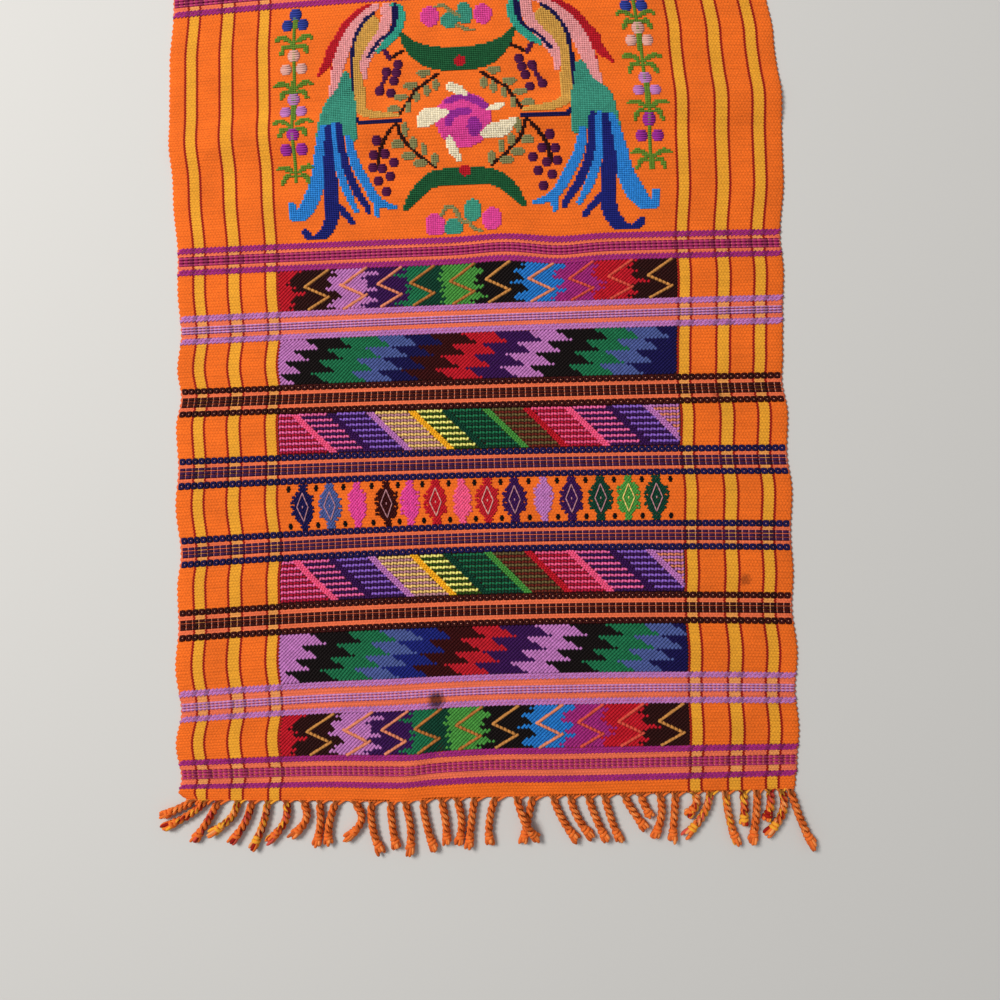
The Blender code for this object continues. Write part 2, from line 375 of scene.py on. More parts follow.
# %% [markdown]
# ## The ground cloth
# The ground is plain weave with the weft beaten down hard. The warp threads of the selvedges, the
# yellow stripes and the thin red lines beside them change the colour of the face from side to side.
# The stripes are a colour ramp on the distance from the middle, and their edges are toothed at the
# rib spacing, because each weft thread covers a little more or less of the next warp.

# %% Stripe plan
# Distance from the middle in mm, and the colour from there outwards.
STRIPES = (
    (0.0, "orange"),
    (141.4, "stripe red"),
    (143.2, "yellow"),
    (150.2, "stripe red"),
    (151.9, "orange"),
    (167.6, "stripe red"),
    (169.4, "yellow"),
    (177.3, "stripe red"),
    (179.1, "orange"),
    (193.8, "stripe red"),
    (195.5, "yellow"),
    (202.4, "stripe red"),
    (204.0, "orange"),
)
TOOTH_DEPTH = 0.7
WARP_PITCH = 2.2
# Pinker weft is used between the border lines: where it starts and ends, and its share.
PINK_SPANS = (
    (9, 33, 0.9),
    (62, 84, 0.9),
    (118, 139, 0.7),
    (169, 189, 0.7),
    (221, 240, 0.7),
    (270, 290, 0.7),
    (323, 344, 0.9),
    (372, 392, 0.9),
    (568, 588, 0.9),
)
# Between these lines stitches cover the ground, and what is left of it lies in their shade.
COVERED_SPANS = (
    (32.5, 62.5),
    (83.5, 118.5),
    (138.5, 169.5),
    (240.5, 270.5),
    (289.5, 323.5),
    (343.5, 372.5),
)
SHADED_GROUND = "2A0C08"
# What the warp colours turn to where the pinker weft covers more of them.
PINK_DYES = {"orange": "salmon", "yellow": "peach"}
# Stains from use: x and along in mm, the size, and how strong it is.
STAINS = ((-33.0, 67.5, 7.5, 0.85), (182.5, 148.0, 5.0, 0.5), (169.5, 276.0, 4.5, 0.4))
STAIN_DYE = "3A1408"
# How far noise pushes a stain's edge, in mm, and where the ramp of the stripes ends.
STAIN_WARP = 5.0
RAMP_REACH = HALF_WIDTH + 5
print(len(STRIPES), "steps in the stripe plan,", len(STAINS), "stains")

# %% [markdown]
# A picture of a weave would show its repeats and blur close up. The finish is made of sums instead,
# from the loom's own millimetres, which the cloth carries as its UV map. Four small functions add the
# nodes that such sums need most.


# %% Sums in a shader
def calculate(tree, operation, *values):
    """A Math node's output."""
    return add_node(tree, "ShaderNodeMath", dict(enumerate(values)), operation=operation).outputs[0]


def vector(tree, operation, *values):
    """A Vector Math node."""
    return add_node(tree, "ShaderNodeVectorMath", dict(enumerate(values)), operation=operation)


def map_range(tree, value, low, high, darkest, lightest):
    """A Map Range node's output: low to high goes in, and darkest to lightest comes out."""
    sockets = {0: value, 1: low, 2: high, 3: darkest, 4: lightest}
    return add_node(tree, "ShaderNodeMapRange", sockets).outputs[0]


def mix(tree, share, colour, other):
    """A Mix node's colour: the other one as far as share says."""
    return add_node(tree, "ShaderNodeMix", {0: share, 6: colour, 7: other}, data_type="RGBA").outputs[2]


def noise(tree, place, scale, detail, roughness=0.5):
    """A Noise Texture node."""
    sockets = {"Vector": place, "Scale": scale, "Detail": detail, "Roughness": roughness}
    return add_node(tree, "ShaderNodeTexNoise", sockets)


print("stripes end", RAMP_REACH, "mm from the middle")

# %% [markdown]
# The stripes are hard steps of a colour ramp. A triangle wave at the rib spacing is added to the
# distance first, which gives each step its teeth.


# %% Stripes
def stripe_ramp(tree, share, swaps):
    """The stripe plan as a colour ramp with hard steps, with some dyes swapped for others."""
    stripes = add_node(tree, "ShaderNodeValToRGB", {0: share})
    ramp = stripes.color_ramp
    ramp.interpolation = "CONSTANT"
    while len(ramp.elements) < len(STRIPES):
        ramp.elements.new(1.0)
    for stop, (distance, name) in zip(ramp.elements, STRIPES):
        stop.position = distance / RAMP_REACH
        stop.color = linear(DYES[swaps.get(name, name)])
    return stripes.outputs[0]


def stripe_colour(tree, across, along):
    """The stripes with toothed edges, in the plain dyes or, where the weft is pinker, in theirs."""
    tooth = calculate(tree, "PINGPONG", along, RIB_PITCH / 2)
    edge = calculate(tree, "MULTIPLY_ADD", tooth, TOOTH_DEPTH, calculate(tree, "ABSOLUTE", across))
    share = calculate(tree, "DIVIDE", edge, RAMP_REACH)
    weft = add_node(tree, "ShaderNodeAttribute", attribute_name="weft")
    return mix(tree, weft.outputs["Fac"], stripe_ramp(tree, share, {}), stripe_ramp(tree, share, PINK_DYES))


print("dyes that the pinker weft changes:", list(PINK_DYES))

# %% [markdown]
# Hand-dyed weft is never even. Four factors are multiplied: long changes from weft to weft, finer
# flecks where threads turn, wide soft clouds, and painted shade that makes the hollows darker than the ribs.


# %% Shade and stains
def ground_shade(tree, in_mm, along):
    """How light the ground is at each place, from the uneven dye and from painted shade in the hollows
    between ribs. The noise of the wefts is drawn out along them.
    """
    drawn = vector(tree, "MULTIPLY", in_mm, (0.03, 0.5, 1.0)).outputs[0]
    wefts = noise(tree, drawn, 1.0, 3.0).outputs[0]
    flecks = noise(tree, in_mm, 0.7, 4.0, 0.8).outputs[0]
    clouds = noise(tree, in_mm, 0.04, 3.0).outputs[0]
    # Painted shade: a cosine at the rib spacing darkens the hollows between the ribs.
    wave = calculate(tree, "COSINE", calculate(tree, "MULTIPLY", along, math.pi / RIB_PITCH * 2))
    shade = calculate(
        tree,
        "MULTIPLY",
        map_range(tree, wefts, 0.3, 0.7, 0.92, 1.06),
        map_range(tree, wave, -1, 1, 0.92, 1.03),
    )
    shade = calculate(tree, "MULTIPLY", shade, map_range(tree, flecks, 0.3, 0.7, 0.76, 1.2))
    return calculate(tree, "MULTIPLY", shade, map_range(tree, clouds, 0.3, 0.7, 0.9, 1.06))


def with_stains(tree, in_mm, colour):
    """The colour with stains: each darkens by the distance from its place, made ragged by noise."""
    ragged = noise(tree, in_mm, 0.35, 2.0)
    warped = vector(tree, "MULTIPLY_ADD", ragged.outputs[1], (STAIN_WARP, STAIN_WARP, 0), in_mm).outputs[0]
    for x, y, size, strength in STAINS:
        middle = (x + STAIN_WARP / 2, y + STAIN_WARP / 2, 0)
        away = vector(tree, "DISTANCE", warped, middle).outputs["Value"]
        dark = map_range(tree, away, size * 0.4, size, strength, 0.0)
        colour = mix(tree, dark, colour, linear(STAIN_DYE))
    return colour


print("stains", len(STAINS))

# %% [markdown]
# The ribs are in the mesh, but the beads along them are too small for it. A bump in a brick pattern
# gives them, and only the shader has to know.


# %% Ground finish
def ground_bump(tree, in_mm, across, along):
    """Beads where the weft passes over a warp thread, moved half a bead each row, and fine fibres."""
    row_number = calculate(tree, "ROUND", calculate(tree, "DIVIDE", along, RIB_PITCH))
    bricks = calculate(tree, "MULTIPLY", across, 1 / WARP_PITCH)
    bead = calculate(tree, "PINGPONG", calculate(tree, "MULTIPLY_ADD", row_number, 0.5, bricks), 0.5)
    fibres = noise(tree, in_mm, 2.2, 4.0).outputs[0]
    relief = calculate(tree, "MULTIPLY_ADD", fibres, 0.8, bead)
    sockets = {"Height": relief, "Distance": 0.0005, "Strength": 1.0}
    return add_node(tree, "ShaderNodeBump", sockets).outputs[0]


def ground_finish():
    """Weft-faced cotton: matt, with fine ribs, a bead where each weft passes over a warp thread, and
    soft changes of shade from one weft to the next."""
    finish, tree, shader = new_finish("weft_faced_cotton")
    place = add_node(tree, "ShaderNodeUVMap", uv_map="weave").outputs[0]
    in_mm = vector(tree, "MULTIPLY", place, (1000, 1000, 1000)).outputs[0]
    axes = add_node(tree, "ShaderNodeSeparateXYZ", {0: in_mm})
    across, along = axes.outputs[0], axes.outputs[1]
    tinted = add_node(
        tree,
        "ShaderNodeVectorMath",
        {0: stripe_colour(tree, across, along), "Scale": ground_shade(tree, in_mm, along)},
        operation="SCALE",
    )
    # The shaded ground between stitches, inside the fields' side limits.
    covered = add_node(tree, "ShaderNodeAttribute", attribute_name="covered")
    inside = calculate(tree, "LESS_THAN", calculate(tree, "ABSOLUTE", across), FIELD_LIMIT + 0.5)
    hidden = calculate(tree, "MULTIPLY", covered.outputs["Fac"], inside)
    colour = mix(tree, hidden, tinted.outputs[0], linear(SHADED_GROUND))
    tree.links.new(with_stains(tree, in_mm, colour), shader.inputs["Base Color"])
    tree.links.new(ground_bump(tree, in_mm, across, along), shader.inputs["Normal"])
    shader.inputs["Roughness"].default_value = 0.85
    shader.inputs["Specular IOR Level"].default_value = 0.2
    return finish


weft_faced_cotton = ground_finish()
print("finish", weft_faced_cotton.name)

# %% [markdown]
# ## The cloth's mesh
# The face is a grid with a row of points on every rib crest and every hollow. The edges along the rows
# are marked sharp, so that each rib stays crisp while the shading runs smoothly from side to side. The
# underside needs few columns. At the selvedges the points step in and out with the ribs, as the weft
# turns back round the last warp thread.

# %% Cloth rows and columns
ROW_STEP = RIB_PITCH / 2
UNDER_ACROSS = np.array([-215.0, -90.0, -45.0, 0.0, 45.0, 90.0, 215.0])
SELVEDGE_LOOP = 0.35
SELVEDGE_DROP = 0.45


def half_face(across, height):
    """Points of the near half for a row of across values: every row follows the folds, and the outermost
    points step by half a loop, out on one pair of ribs and in on the next."""
    rows = np.arange(int(HALF_LENGTH / ROW_STEP) + 1)
    along = rows * ROW_STEP
    wave = np.where(rows // 2 % 2, 1.0, -1.0) * SELVEDGE_LOOP
    wave[[0, -1]] = 0.0
    side = np.sign(across) * (np.abs(across) > HALF_WIDTH - 0.5)
    spread = across[None, :] + side[None, :] * wave[:, None]
    lift = np.broadcast_to(height(rows)[:, None], spread.shape)
    return on_cloth(spread, along[:, None], lift)


def whole_face(across, height):
    """The near half and, turned, the far half, as one grid from the near end."""
    near = half_face(across, height)
    far = near[-2::-1, ::-1] * HALF_TURN
    return np.concatenate([near, far])


def rib_height(rows):
    """Crests on even rows and hollows on odd ones, each a little different."""
    uneven = 1 + 0.25 * np.sin(rows * 0.83) * np.sin(rows * 0.31)
    return np.where(rows % 2, -RIB_HEIGHT, RIB_HEIGHT) * uneven


print("the face has", len(TOP_ACROSS), "columns, the underside", len(UNDER_ACROSS))

# %% [markdown]
# A Solidify modifier would give the sheet its thickness, but it would copy the fine grid to the
# underside, which nobody sees. Here the underside gets seven columns, and strips of quads and one
# many-sided face at each end close the rim.


# %% Cloth mesh
def make_cloth():
    """One closed sheet: the ribbed face, the plain underside and the rim between them."""
    top = whole_face(TOP_ACROSS, rib_height)
    top[:, [0, -1], 2] -= SELVEDGE_DROP
    under = whole_face(UNDER_ACROSS, lambda rows: np.full(len(rows), -SHEET_THICKNESS))
    rows, columns = top.shape[:2]
    few = under.shape[1]
    index = np.arange(rows * columns).reshape(rows, columns)
    base = np.arange(rows * few).reshape(rows, few) + rows * columns

    def quads(grid):
        return np.stack([grid[:-1, :-1], grid[:-1, 1:], grid[1:, 1:], grid[1:, :-1]], -1).reshape(-1, 4)

    left = np.stack([index[:-1, 0], index[1:, 0], base[1:, 0], base[:-1, 0]], -1)
    right = np.stack([index[:-1, -1], base[:-1, -1], base[1:, -1], index[1:, -1]], -1)
    near_end = np.concatenate([base[0], index[0, ::-1]])[None, :]
    far_end = np.concatenate([index[-1], base[-1, ::-1]])[None, :]
    points = np.concatenate([top.reshape(-1, 3), under.reshape(-1, 3)])
    faces = [quads(index), quads(base)[:, ::-1], left, right, near_end, far_end]
    cloth = make_piece("cloth", points, faces, weft_faced_cotton)
    mesh = cloth.data

    # Loom coordinates in metres as the UV map, and the pinker spans as an attribute.
    along = np.arange(rows) * ROW_STEP
    loom = np.concatenate(
        [
            np.stack(np.broadcast_arrays(across[None, :], along[:, None]), -1).reshape(-1, 2)
            for across in (TOP_ACROSS, UNDER_ACROSS)
        ]
    )
    corner = np.empty(len(mesh.loops), np.int32)
    mesh.loops.foreach_get("vertex_index", corner)
    mesh.uv_layers.new(name="weave").data.foreach_set("uv", (loom[corner] * MM).astype(np.float32).ravel())
    from_end = np.minimum(loom[:, 1], CLOTH_LENGTH - loom[:, 1])
    pink = np.zeros(len(points))
    for start, end, share in PINK_SPANS:
        pink[(from_end > start) & (from_end < end)] = share
    mesh.attributes.new("weft", "FLOAT", "POINT").data.foreach_set("value", pink.astype(np.float32))
    covered = np.zeros(len(points))
    for start, end in COVERED_SPANS:
        covered[(from_end > start) & (from_end < end)] = 1.0
    mesh.attributes.new("covered", "FLOAT", "POINT").data.foreach_set("value", covered.astype(np.float32))

    # Sharp edges run along the rows.
    ends = np.empty(len(mesh.edges) * 2, np.int32)
    mesh.edges.foreach_get("vertices", ends)
    ends = ends.reshape(-1, 2)
    sharp = loom[ends[:, 0], 1] == loom[ends[:, 1], 1]
    mesh.attributes.new("sharp_edge", "BOOLEAN", "EDGE").data.foreach_set("value", sharp)
    return cloth


cloth = make_cloth()
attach(cloth, "root")
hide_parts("cloth")
print("the cloth's mesh carries", [layer.name for layer in cloth.data.uv_layers], "and its weft spans")

# %% [markdown]
# ## Float threads
# In brocade an extra thread floats over two or three ribs and dives back. A long float is a closed
# hipped shape of six points, and a short slanted stitch is one of five. One function lays thousands
# of them at once from a table of places, sizes and dyes, and wraps them onto the cloth, so they
# follow its folds and bowed weft lines.

# %% Float shape and laying
# Along the thread, across it, and up, for a thread of half length 1, half width 1 and height 1.
LONG_FLOAT = (
    np.array(((-1, -0.9, 0), (1, -0.9, 0), (1, 0.9, 0), (-1, 0.9, 0), (-0.66, 0, 1), (0.66, 0, 1))),
    (np.array(((0, 1, 5, 4), (2, 3, 4, 5), (0, 3, 2, 1))), np.array(((1, 2, 5), (3, 0, 4)))),
)
SHORT_STITCH = (
    np.array(((-1, 0, 0), (-0.25, -1, 0), (0, 0, 1), (0.25, 1, 0), (1, 0, 0))),
    (np.array(((0, 1, 2), (1, 4, 2), (4, 3, 2), (3, 0, 2))), np.array(((0, 3, 4, 1),))),
)
FLOAT_SINK = 0.1


def floats(across, along, dyes, half_length, half_width, height, angle=0.0):
    """A table with one float a row, its columns in the order of the arguments. Bare places are
    dropped."""
    parts = np.broadcast_arrays(across, along, dyes, half_length, half_width, height, angle)
    table = np.stack([np.asarray(part, float).ravel() for part in parts], -1)
    return table[table[:, 2] >= 0]


def lattice(start, end, pitch_along, pitch_across, limit=FIELD_LIMIT, shift=0.5):
    """Places in rows across the cloth, each row moved on by a share of the spacing."""
    count = max(int(round((end - start) / pitch_along)), 1)
    rows = start + (np.arange(count) + 0.5) * (end - start) / count
    steps = int(round(2 * limit / pitch_across))
    columns = -limit + (np.arange(steps) + 0.5) * 2 * limit / steps
    moved = np.arange(count) * shift % 1 * pitch_across
    moved = moved - moved.mean()
    across = columns[None, :] + moved[:, None]
    along = np.broadcast_to(rows[:, None], across.shape)
    return across, along


print("a long float has", len(LONG_FLOAT[0]), "points, a short stitch", len(SHORT_STITCH[0]))

# %% [markdown]
# Instances on points could lay the floats, but they keep their shape and would stand off the bowed
# rows. Wrapping each point of every copy onto the cloth costs one call for the whole table.

# %% Weaving a table of floats
RED_LINE_REACH = 1.6
RED_LINE_SHADE = 0.6
LIGHT_RANGE = (0.88, 1.12)


def thread_shade(across, along):
    """How light a float is by its place: dimmer over the red lines and inside the stains."""
    steps = zip(STRIPES, STRIPES[1:])
    red = np.array([(inner + outer) / 2 for (inner, name), (outer, _) in steps if name == "stripe red"])
    from_line = np.min(np.abs(np.abs(across)[..., None] - red), -1)
    shade = np.where(from_line < RED_LINE_REACH, RED_LINE_SHADE, 1.0)
    for x, y, size, strength in STAINS:
        away = np.hypot(across - x, along - y)
        shade = shade * (1 - strength * np.clip((size - away) / (0.5 * size), 0, 1))
    return shade


def weave(name, tables, template, half_turn):
    """One mesh from float tables: each point is the float's place plus its own part of the turned and
    scaled template, wrapped onto the cloth, and each thread's colour is varied by up to an eighth."""
    table = np.concatenate(tables)
    shape, face_sets = template
    across, along, dyes, half_length, half_width, height, angle = (column[:, None] for column in table.T)
    run = shape[:, 0] * half_length
    wide = shape[:, 1] * half_width
    up = shape[:, 2] * (height + FLOAT_SINK) - FLOAT_SINK
    place_across = across + run * np.cos(angle) - wide * np.sin(angle)
    place_along = along + run * np.sin(angle) + wide * np.cos(angle)
    points = on_cloth(place_across, place_along, up).reshape(-1, 3)
    if half_turn:
        points = points * HALF_TURN
    first = np.arange(len(table))[:, None, None] * len(shape)
    faces = [(first + faces[None]).reshape(-1, faces.shape[1]) for faces in face_sets]
    light = DYE_LIGHT[dyes[:, 0].astype(int)]
    variation = np.random.default_rng(SEED).uniform(*LIGHT_RANGE, (len(table), 1))
    variation = variation * thread_shade(across, along)
    light = np.repeat(light * np.concatenate([variation] * 3 + [np.ones_like(variation)], 1), len(shape), 0)
    piece = make_piece(name, points, faces, mercerised_cotton, light)
    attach(piece, "root")
    return piece


print("floats over the red lines are", RED_LINE_SHADE, "as light as the rest")

# %% [markdown]
# ## The floats' finish
# The coloured threads are mercerised cotton, which is smoother and shinier than the ground. Each
# thread's colour comes from the mesh. Fine streaks along the fibres and a little sheen do the rest.


# %% Mercerised cotton
def thread_finish(name, roughness, specular):
    """Dyed cotton thread: colour from the mesh, fibre streaks in shade and bump."""
    finish, tree, shader = new_finish(name)
    dyed = add_node(tree, "ShaderNodeAttribute", attribute_name="thread")
    place = add_node(tree, "ShaderNodeTexCoord")
    fibres = noise(tree, place.outputs["Object"], 1400.0, 3.0).outputs[0]
    shade = map_range(tree, fibres, 0.3, 0.7, 0.82, 1.12)
    tinted = add_node(
        tree, "ShaderNodeVectorMath", {0: dyed.outputs["Color"], "Scale": shade}, operation="SCALE"
    )
    relief = {"Height": fibres, "Distance": 0.0002, "Strength": 0.6}
    bump = add_node(tree, "ShaderNodeBump", relief)
    tree.links.new(tinted.outputs[0], shader.inputs["Base Color"])
    tree.links.new(bump.outputs[0], shader.inputs["Normal"])
    shader.inputs["Roughness"].default_value = roughness
    shader.inputs["Specular IOR Level"].default_value = specular
    return finish


mercerised_cotton = thread_finish("mercerised_cotton", 0.75, 0.15)
twisted_cotton = thread_finish("twisted_cotton_cord", 0.8, 0.2)
print("finishes", mercerised_cotton.name, twisted_cotton.name)

# %% [markdown]
# ## Border lines
# The magenta and lilac lines are two rows of slanted floats from edge to edge, and between each pair
# of lines run three thin rows with gaps, where the ground shows as pale dots. The dark lines are
# chains: small rings, with rows of dashes between them.

# %% Lines and chains
# First line's start, second line's start, the line's width, and the family.
LINE_GROUPS = (
    (9.7, 28.6, 4.0, "magenta"),
    (62.1, 79.9, 4.0, "lilac"),
    (323.4, 339.6, 4.0, "lilac"),
    (372.2, 387.9, 4.0, "magenta"),
    (567.6, 584.6, 4.0, "magenta"),
)
CHAIN_GROUPS = (
    (117.4, 134.8, 4.4, "maroon"),
    (168.4, 184.5, 4.4, "navy"),
    (220.3, 236.4, 4.4, "navy"),
    (269.5, 286.0, 4.4, "maroon"),
)
EDGE_LIMIT = HALF_WIDTH - 1.2
TWILL_PITCH = 2.9
DOT_PITCH = 3.7
CHAIN_PITCH = 4.6
# Half length, half width, height and slant of a line's floats, and of the thin threads between them.
LINE_SIZE = (2.3, 1.25, 0.75, math.radians(20))
SHADOW_SIZE = (1.6, 0.45, 0.78, math.radians(20))
# The three rows inside each family's pair of lines: the spacing across and along, then the long float
# and the small stitches, each as dye, shift across and along, half length, half width and height.
MIDDLE_ROWS = {
    "magenta": (
        DOT_PITCH,
        2.3,
        ("raspberry", 0, 0, 2.05, 1.3, 0.6),
        ("magenta pale", DOT_PITCH / 2, 0, 0.7, 0.7, 0.85),
        ("magenta dark", 0, 1.15, 2.1, 0.4, 0.55),
    ),
    "lilac": (
        TWILL_PITCH,
        1.9,
        ("lilac light", 0, 0, 2.0, 0.85, 0.6),
        ("lilac dark", 0, -0.95, 2.0, 0.45, 0.55),
    ),
    "maroon": (
        CHAIN_PITCH,
        2.5,
        ("maroon", 0, 0, 2.1, 1.45, 0.75),
        ("speck", CHAIN_PITCH / 2, 0, 0.6, 1.1, 0.75),
    ),
    "navy": (
        CHAIN_PITCH,
        2.5,
        ("plum", 0, 0, 2.1, 1.45, 0.75),
        ("tan", CHAIN_PITCH / 2, 0, 0.6, 1.1, 0.75),
    ),
}


def line_floats(start, width, family):
    """Two rows of long floats that rise to the right, and the thin darker threads between them."""
    across, along = lattice(start, start + width, width / 2, TWILL_PITCH, EDGE_LIMIT, shift=0.45)
    long_ones = floats(across, along, dye(family), *LINE_SIZE)
    shadows = floats(across + TWILL_PITCH / 2, along, dye(family + " dark"), *SHADOW_SIZE)
    return long_ones, shadows


def middle_rows(start, end, family):
    """Three rows in the middle of a pair of lines, as long floats and as small stitches."""
    pitch, spacing, long_thread, *small_threads = MIDDLE_ROWS[family]
    middle = (start + end) / 2
    across, along = lattice(middle - 1, middle + 1, 2.0, pitch, EDGE_LIMIT)

    def laid(row, thread):
        """One thread of the table in one row."""
        name, aside, on, *size = thread
        return floats(across + aside, along + row * spacing + on, dye(name), *size)

    rows = (-1, 0, 1)
    long_ones = [laid(row, long_thread) for row in rows]
    small_ones = [laid(row, thread) for row in rows for thread in small_threads]
    return long_ones, small_ones


line_tables = []
stitch_tables = []
for group in LINE_GROUPS + CHAIN_GROUPS:
    first, second, width, family = group
    if group in LINE_GROUPS:
        for start in (first, second):
            long_ones, shadows = line_floats(start, width, family)
            line_tables.append(long_ones)
            stitch_tables.append(shadows)
    long_ones, small_ones = middle_rows(first + width, second, family)
    line_tables += long_ones
    stitch_tables += small_ones
print("tables of long floats:", len(line_tables), "and of stitches:", len(stitch_tables))

# %% [markdown]
# A dark chain is one small ring after another. Circles of bevelled curve would look the same, but each
# would be a spline of its own. Here one ring is the template, and the function that lays the floats
# lays a ring at every place.

# %% Chain rings
# Eight places round the ring, and three round its thickness.
RING_SEGMENTS = 8
RING_SECTION = 3
# Rings are a little larger than their place, so that they touch, and hold a small light stitch.
RING_OVERLAP = (1.04, 1.08)
RING_HEIGHT = 1.0
CENTRE_SIZE = (0.8, 0.7, 0.5)


def ring_template():
    """A small fat torus, a little squarer than round: radius 0.6 plus 0.46 times the cosine of the
    section's angle, a fifth more at the corners, and height from its sine."""
    round_angle = np.arange(RING_SEGMENTS) * 2 * math.pi / RING_SEGMENTS
    section = np.arange(RING_SECTION) * 2 * math.pi / RING_SECTION + math.pi / 2
    corner = np.where(np.arange(RING_SEGMENTS) % 2, 1.2, 1.0)
    radius = (0.6 + 0.46 * np.cos(section)[None, :]) * corner[:, None]
    points = np.stack(
        [
            radius * np.cos(round_angle)[:, None],
            radius * np.sin(round_angle)[:, None],
            np.broadcast_to(0.5 + 0.5 * np.sin(section)[None, :], (RING_SEGMENTS, RING_SECTION)),
        ],
        -1,
    ).reshape(-1, 3)
    index = np.arange(RING_SEGMENTS * RING_SECTION).reshape(RING_SEGMENTS, RING_SECTION)
    after = np.roll(index, -1, 0)
    quads = np.stack([index, after, np.roll(after, -1, 1), np.roll(index, -1, 1)], -1).reshape(-1, 4)
    return points, (quads,)


def chain_floats(start, width, family):
    """One ring after another from edge to edge, and the stitch in each, in the last dye of the rows."""
    across, along = lattice(start, start + width, width, CHAIN_PITCH, EDGE_LIMIT)
    half_length = CHAIN_PITCH / 2 * RING_OVERLAP[0]
    half_width = width / 2 * RING_OVERLAP[1]
    rings = floats(across, along, dye(family), half_length, half_width, RING_HEIGHT)
    centres = floats(across, along, dye(MIDDLE_ROWS[family][-1][0]), *CENTRE_SIZE)
    return rings, centres


chain_tables = []
for first, second, width, family in CHAIN_GROUPS:
    for start in (first, second):
        rings, centres = chain_floats(start, width, family)
        chain_tables.append(rings)
        stitch_tables.append(centres)
print("rings:", sum(len(table) for table in chain_tables))

# %% [markdown]
# Each kind of thread becomes one mesh an end. The far end's tables are the near end's, turned.

# %% Weaving the borders
for end, turned in (("front", False), ("back", True)):
    weave(f"lines_{end}", line_tables, LONG_FLOAT, turned)
    weave(f"chains_{end}", chain_tables, ring_template(), turned)
    weave(f"stitches_{end}", stitch_tables, SHORT_STITCH, turned)

# %% [markdown]
# ## Brocade fields
# Between the border lines lie fields of pattern. A field is a brick lattice of floats, and a function
# of the place gives each float its dye. The zigzags, flames and slanting blocks are all made from
# straight runs and steps, as a weaver counts them.

# %% Field helpers
# Where each field starts and ends, in mm along.
LOWER_ZIGZAG = (33.0, 61.8)
LOWER_FLAME = (84.2, 117.1)
LOWER_SLANT = (139.5, 168.1)
UPPER_SLANT = (241.1, 269.2)
UPPER_FLAME = (290.7, 323.1)
UPPER_ZIGZAG = (343.9, 371.9)
PICK_PITCH = 1.3
FLOAT_PITCH = 2.7
# A stitch's half length, half width and height.
STITCH_SIZE = (2.0, 1.75, 0.8)


def down_share(along, start, end):
    """How far down a field a place is: 0 at its far edge and 1 at its near edge."""
    return (end - along) / (end - start)


print("a field's stitches are", FLOAT_PITCH, "x", PICK_PITCH, "mm apart")

# %% [markdown]
# The zigzag field: ten thin zigzag lines, and between them blocks of colour. The blocks' edges are
# upright and throw out pointed tongues and small even fingers, so neighbours reach into each other.

# %% Zigzag fields
# Each line's left tip, its dye and its floats' half length.
ZIGZAG_LINES = (
    (-122.3, "bronze", 1.7),
    (-95.8, "clay", 2.9),
    (-69.9, "clay", 1.7),
    (-46.6, "umber", 1.7),
    (-18.1, "umber", 1.7),
    (7.2, "bronze", 1.7),
    (37.6, "clay", 2.2),
    (65.9, "coral", 1.7),
    (93.4, "coral", 1.7),
    (120.9, "bronze", 1.7),
)
# Where a line turns, as shares down the field, and how far right of its tip it is there.
ZIGZAG_SHARES = (0.0, 0.42, 0.70, 1.0)
ZIGZAG_RUNS = (17.4, 0.0, 16.5, 1.3)
ZIGZAG_SLANT = math.radians(32)
ZIGZAG_HALF_WIDTH = 1.6
ZIGZAG_HEIGHT = 1.7
BLOCK_SLANT = math.radians(14)
TONGUE_SHARE = 0.1
FINGERS = 7
FINGER_REACH = 5.0
# Each block's dye, where it ends, and the tongues of its far edge as (share down, reach).
ZIGZAG_BLOCKS = (
    ("red", -131.7, ((0.05, 8), (0.32, -4), (0.6, 11))),
    ("bark", -101.3, ((0.15, 2), (0.27, -8), (0.48, -7), (0.66, 6), (0.9, -8))),
    ("lilac", -81.0, ((0.14, 13), (0.35, 5), (0.54, 13), (0.81, 13))),
    ("purple", -48.6, ((0.22, -9), (0.92, -9))),
    ("pine", -23.6, ((0.32, -4), (0.65, -3))),
    ("leaf", -1.4, ((0.2, 10), (0.4, 2), (0.6, 9), (0.82, 12))),
    ("black", 34.2, ((0.26, -10), (0.51, -10), (0.66, 3), (0.86, -10))),
    ("sky", 55.7, ((0.07, 10), (0.5, 9), (0.73, 9))),
    ("magenta", 83.0, ((0.1, 5), (0.55, 8), (0.7, 8))),
    ("red", 109.2, ((0.05, 6), (0.3, 5), (0.55, 13), (0.85, 4))),
    ("bark", 160.0, ()),
)
# The green block is lighter before its own zigzag line, which is this one.
GREEN_ZIGZAG = 3


def zigzag(t):
    """The zigzag's run to the right of its left tip, in mm: straight from turn to turn."""
    return np.interp(t, ZIGZAG_SHARES, ZIGZAG_RUNS)


def tongues(t, places):
    """How far a block's edge runs out, in mm: a triangle at each place of a (share down, reach) list."""
    return sum(reach * np.clip(1 - np.abs(t - place) / TONGUE_SHARE, 0, 1) for place, reach in places)


def zigzag_field(start, end):
    """Blocks on the lattice: a float takes the dye of the first block whose edge, with its tongues and
    fingers, lies to the right of it. The fingers are a triangle wave down the field."""
    across, along = lattice(start, end, PICK_PITCH, FLOAT_PITCH)
    t = down_share(along, start, end)
    fingers = (2 * np.abs(t * FINGERS % 1 - 0.5) - 0.5) * FINGER_REACH
    dyes = np.full(across.shape, BARE)
    for name, limit, places in reversed(ZIGZAG_BLOCKS):
        dyes[across < limit + tongues(t, places) + fingers] = dye(name)
    light_green = (dyes == dye("pine")) & (across < ZIGZAG_LINES[GREEN_ZIGZAG][0] + zigzag(t))
    dyes[light_green] = dye("green")
    return [floats(across, along, dyes, *STITCH_SIZE, BLOCK_SLANT)]


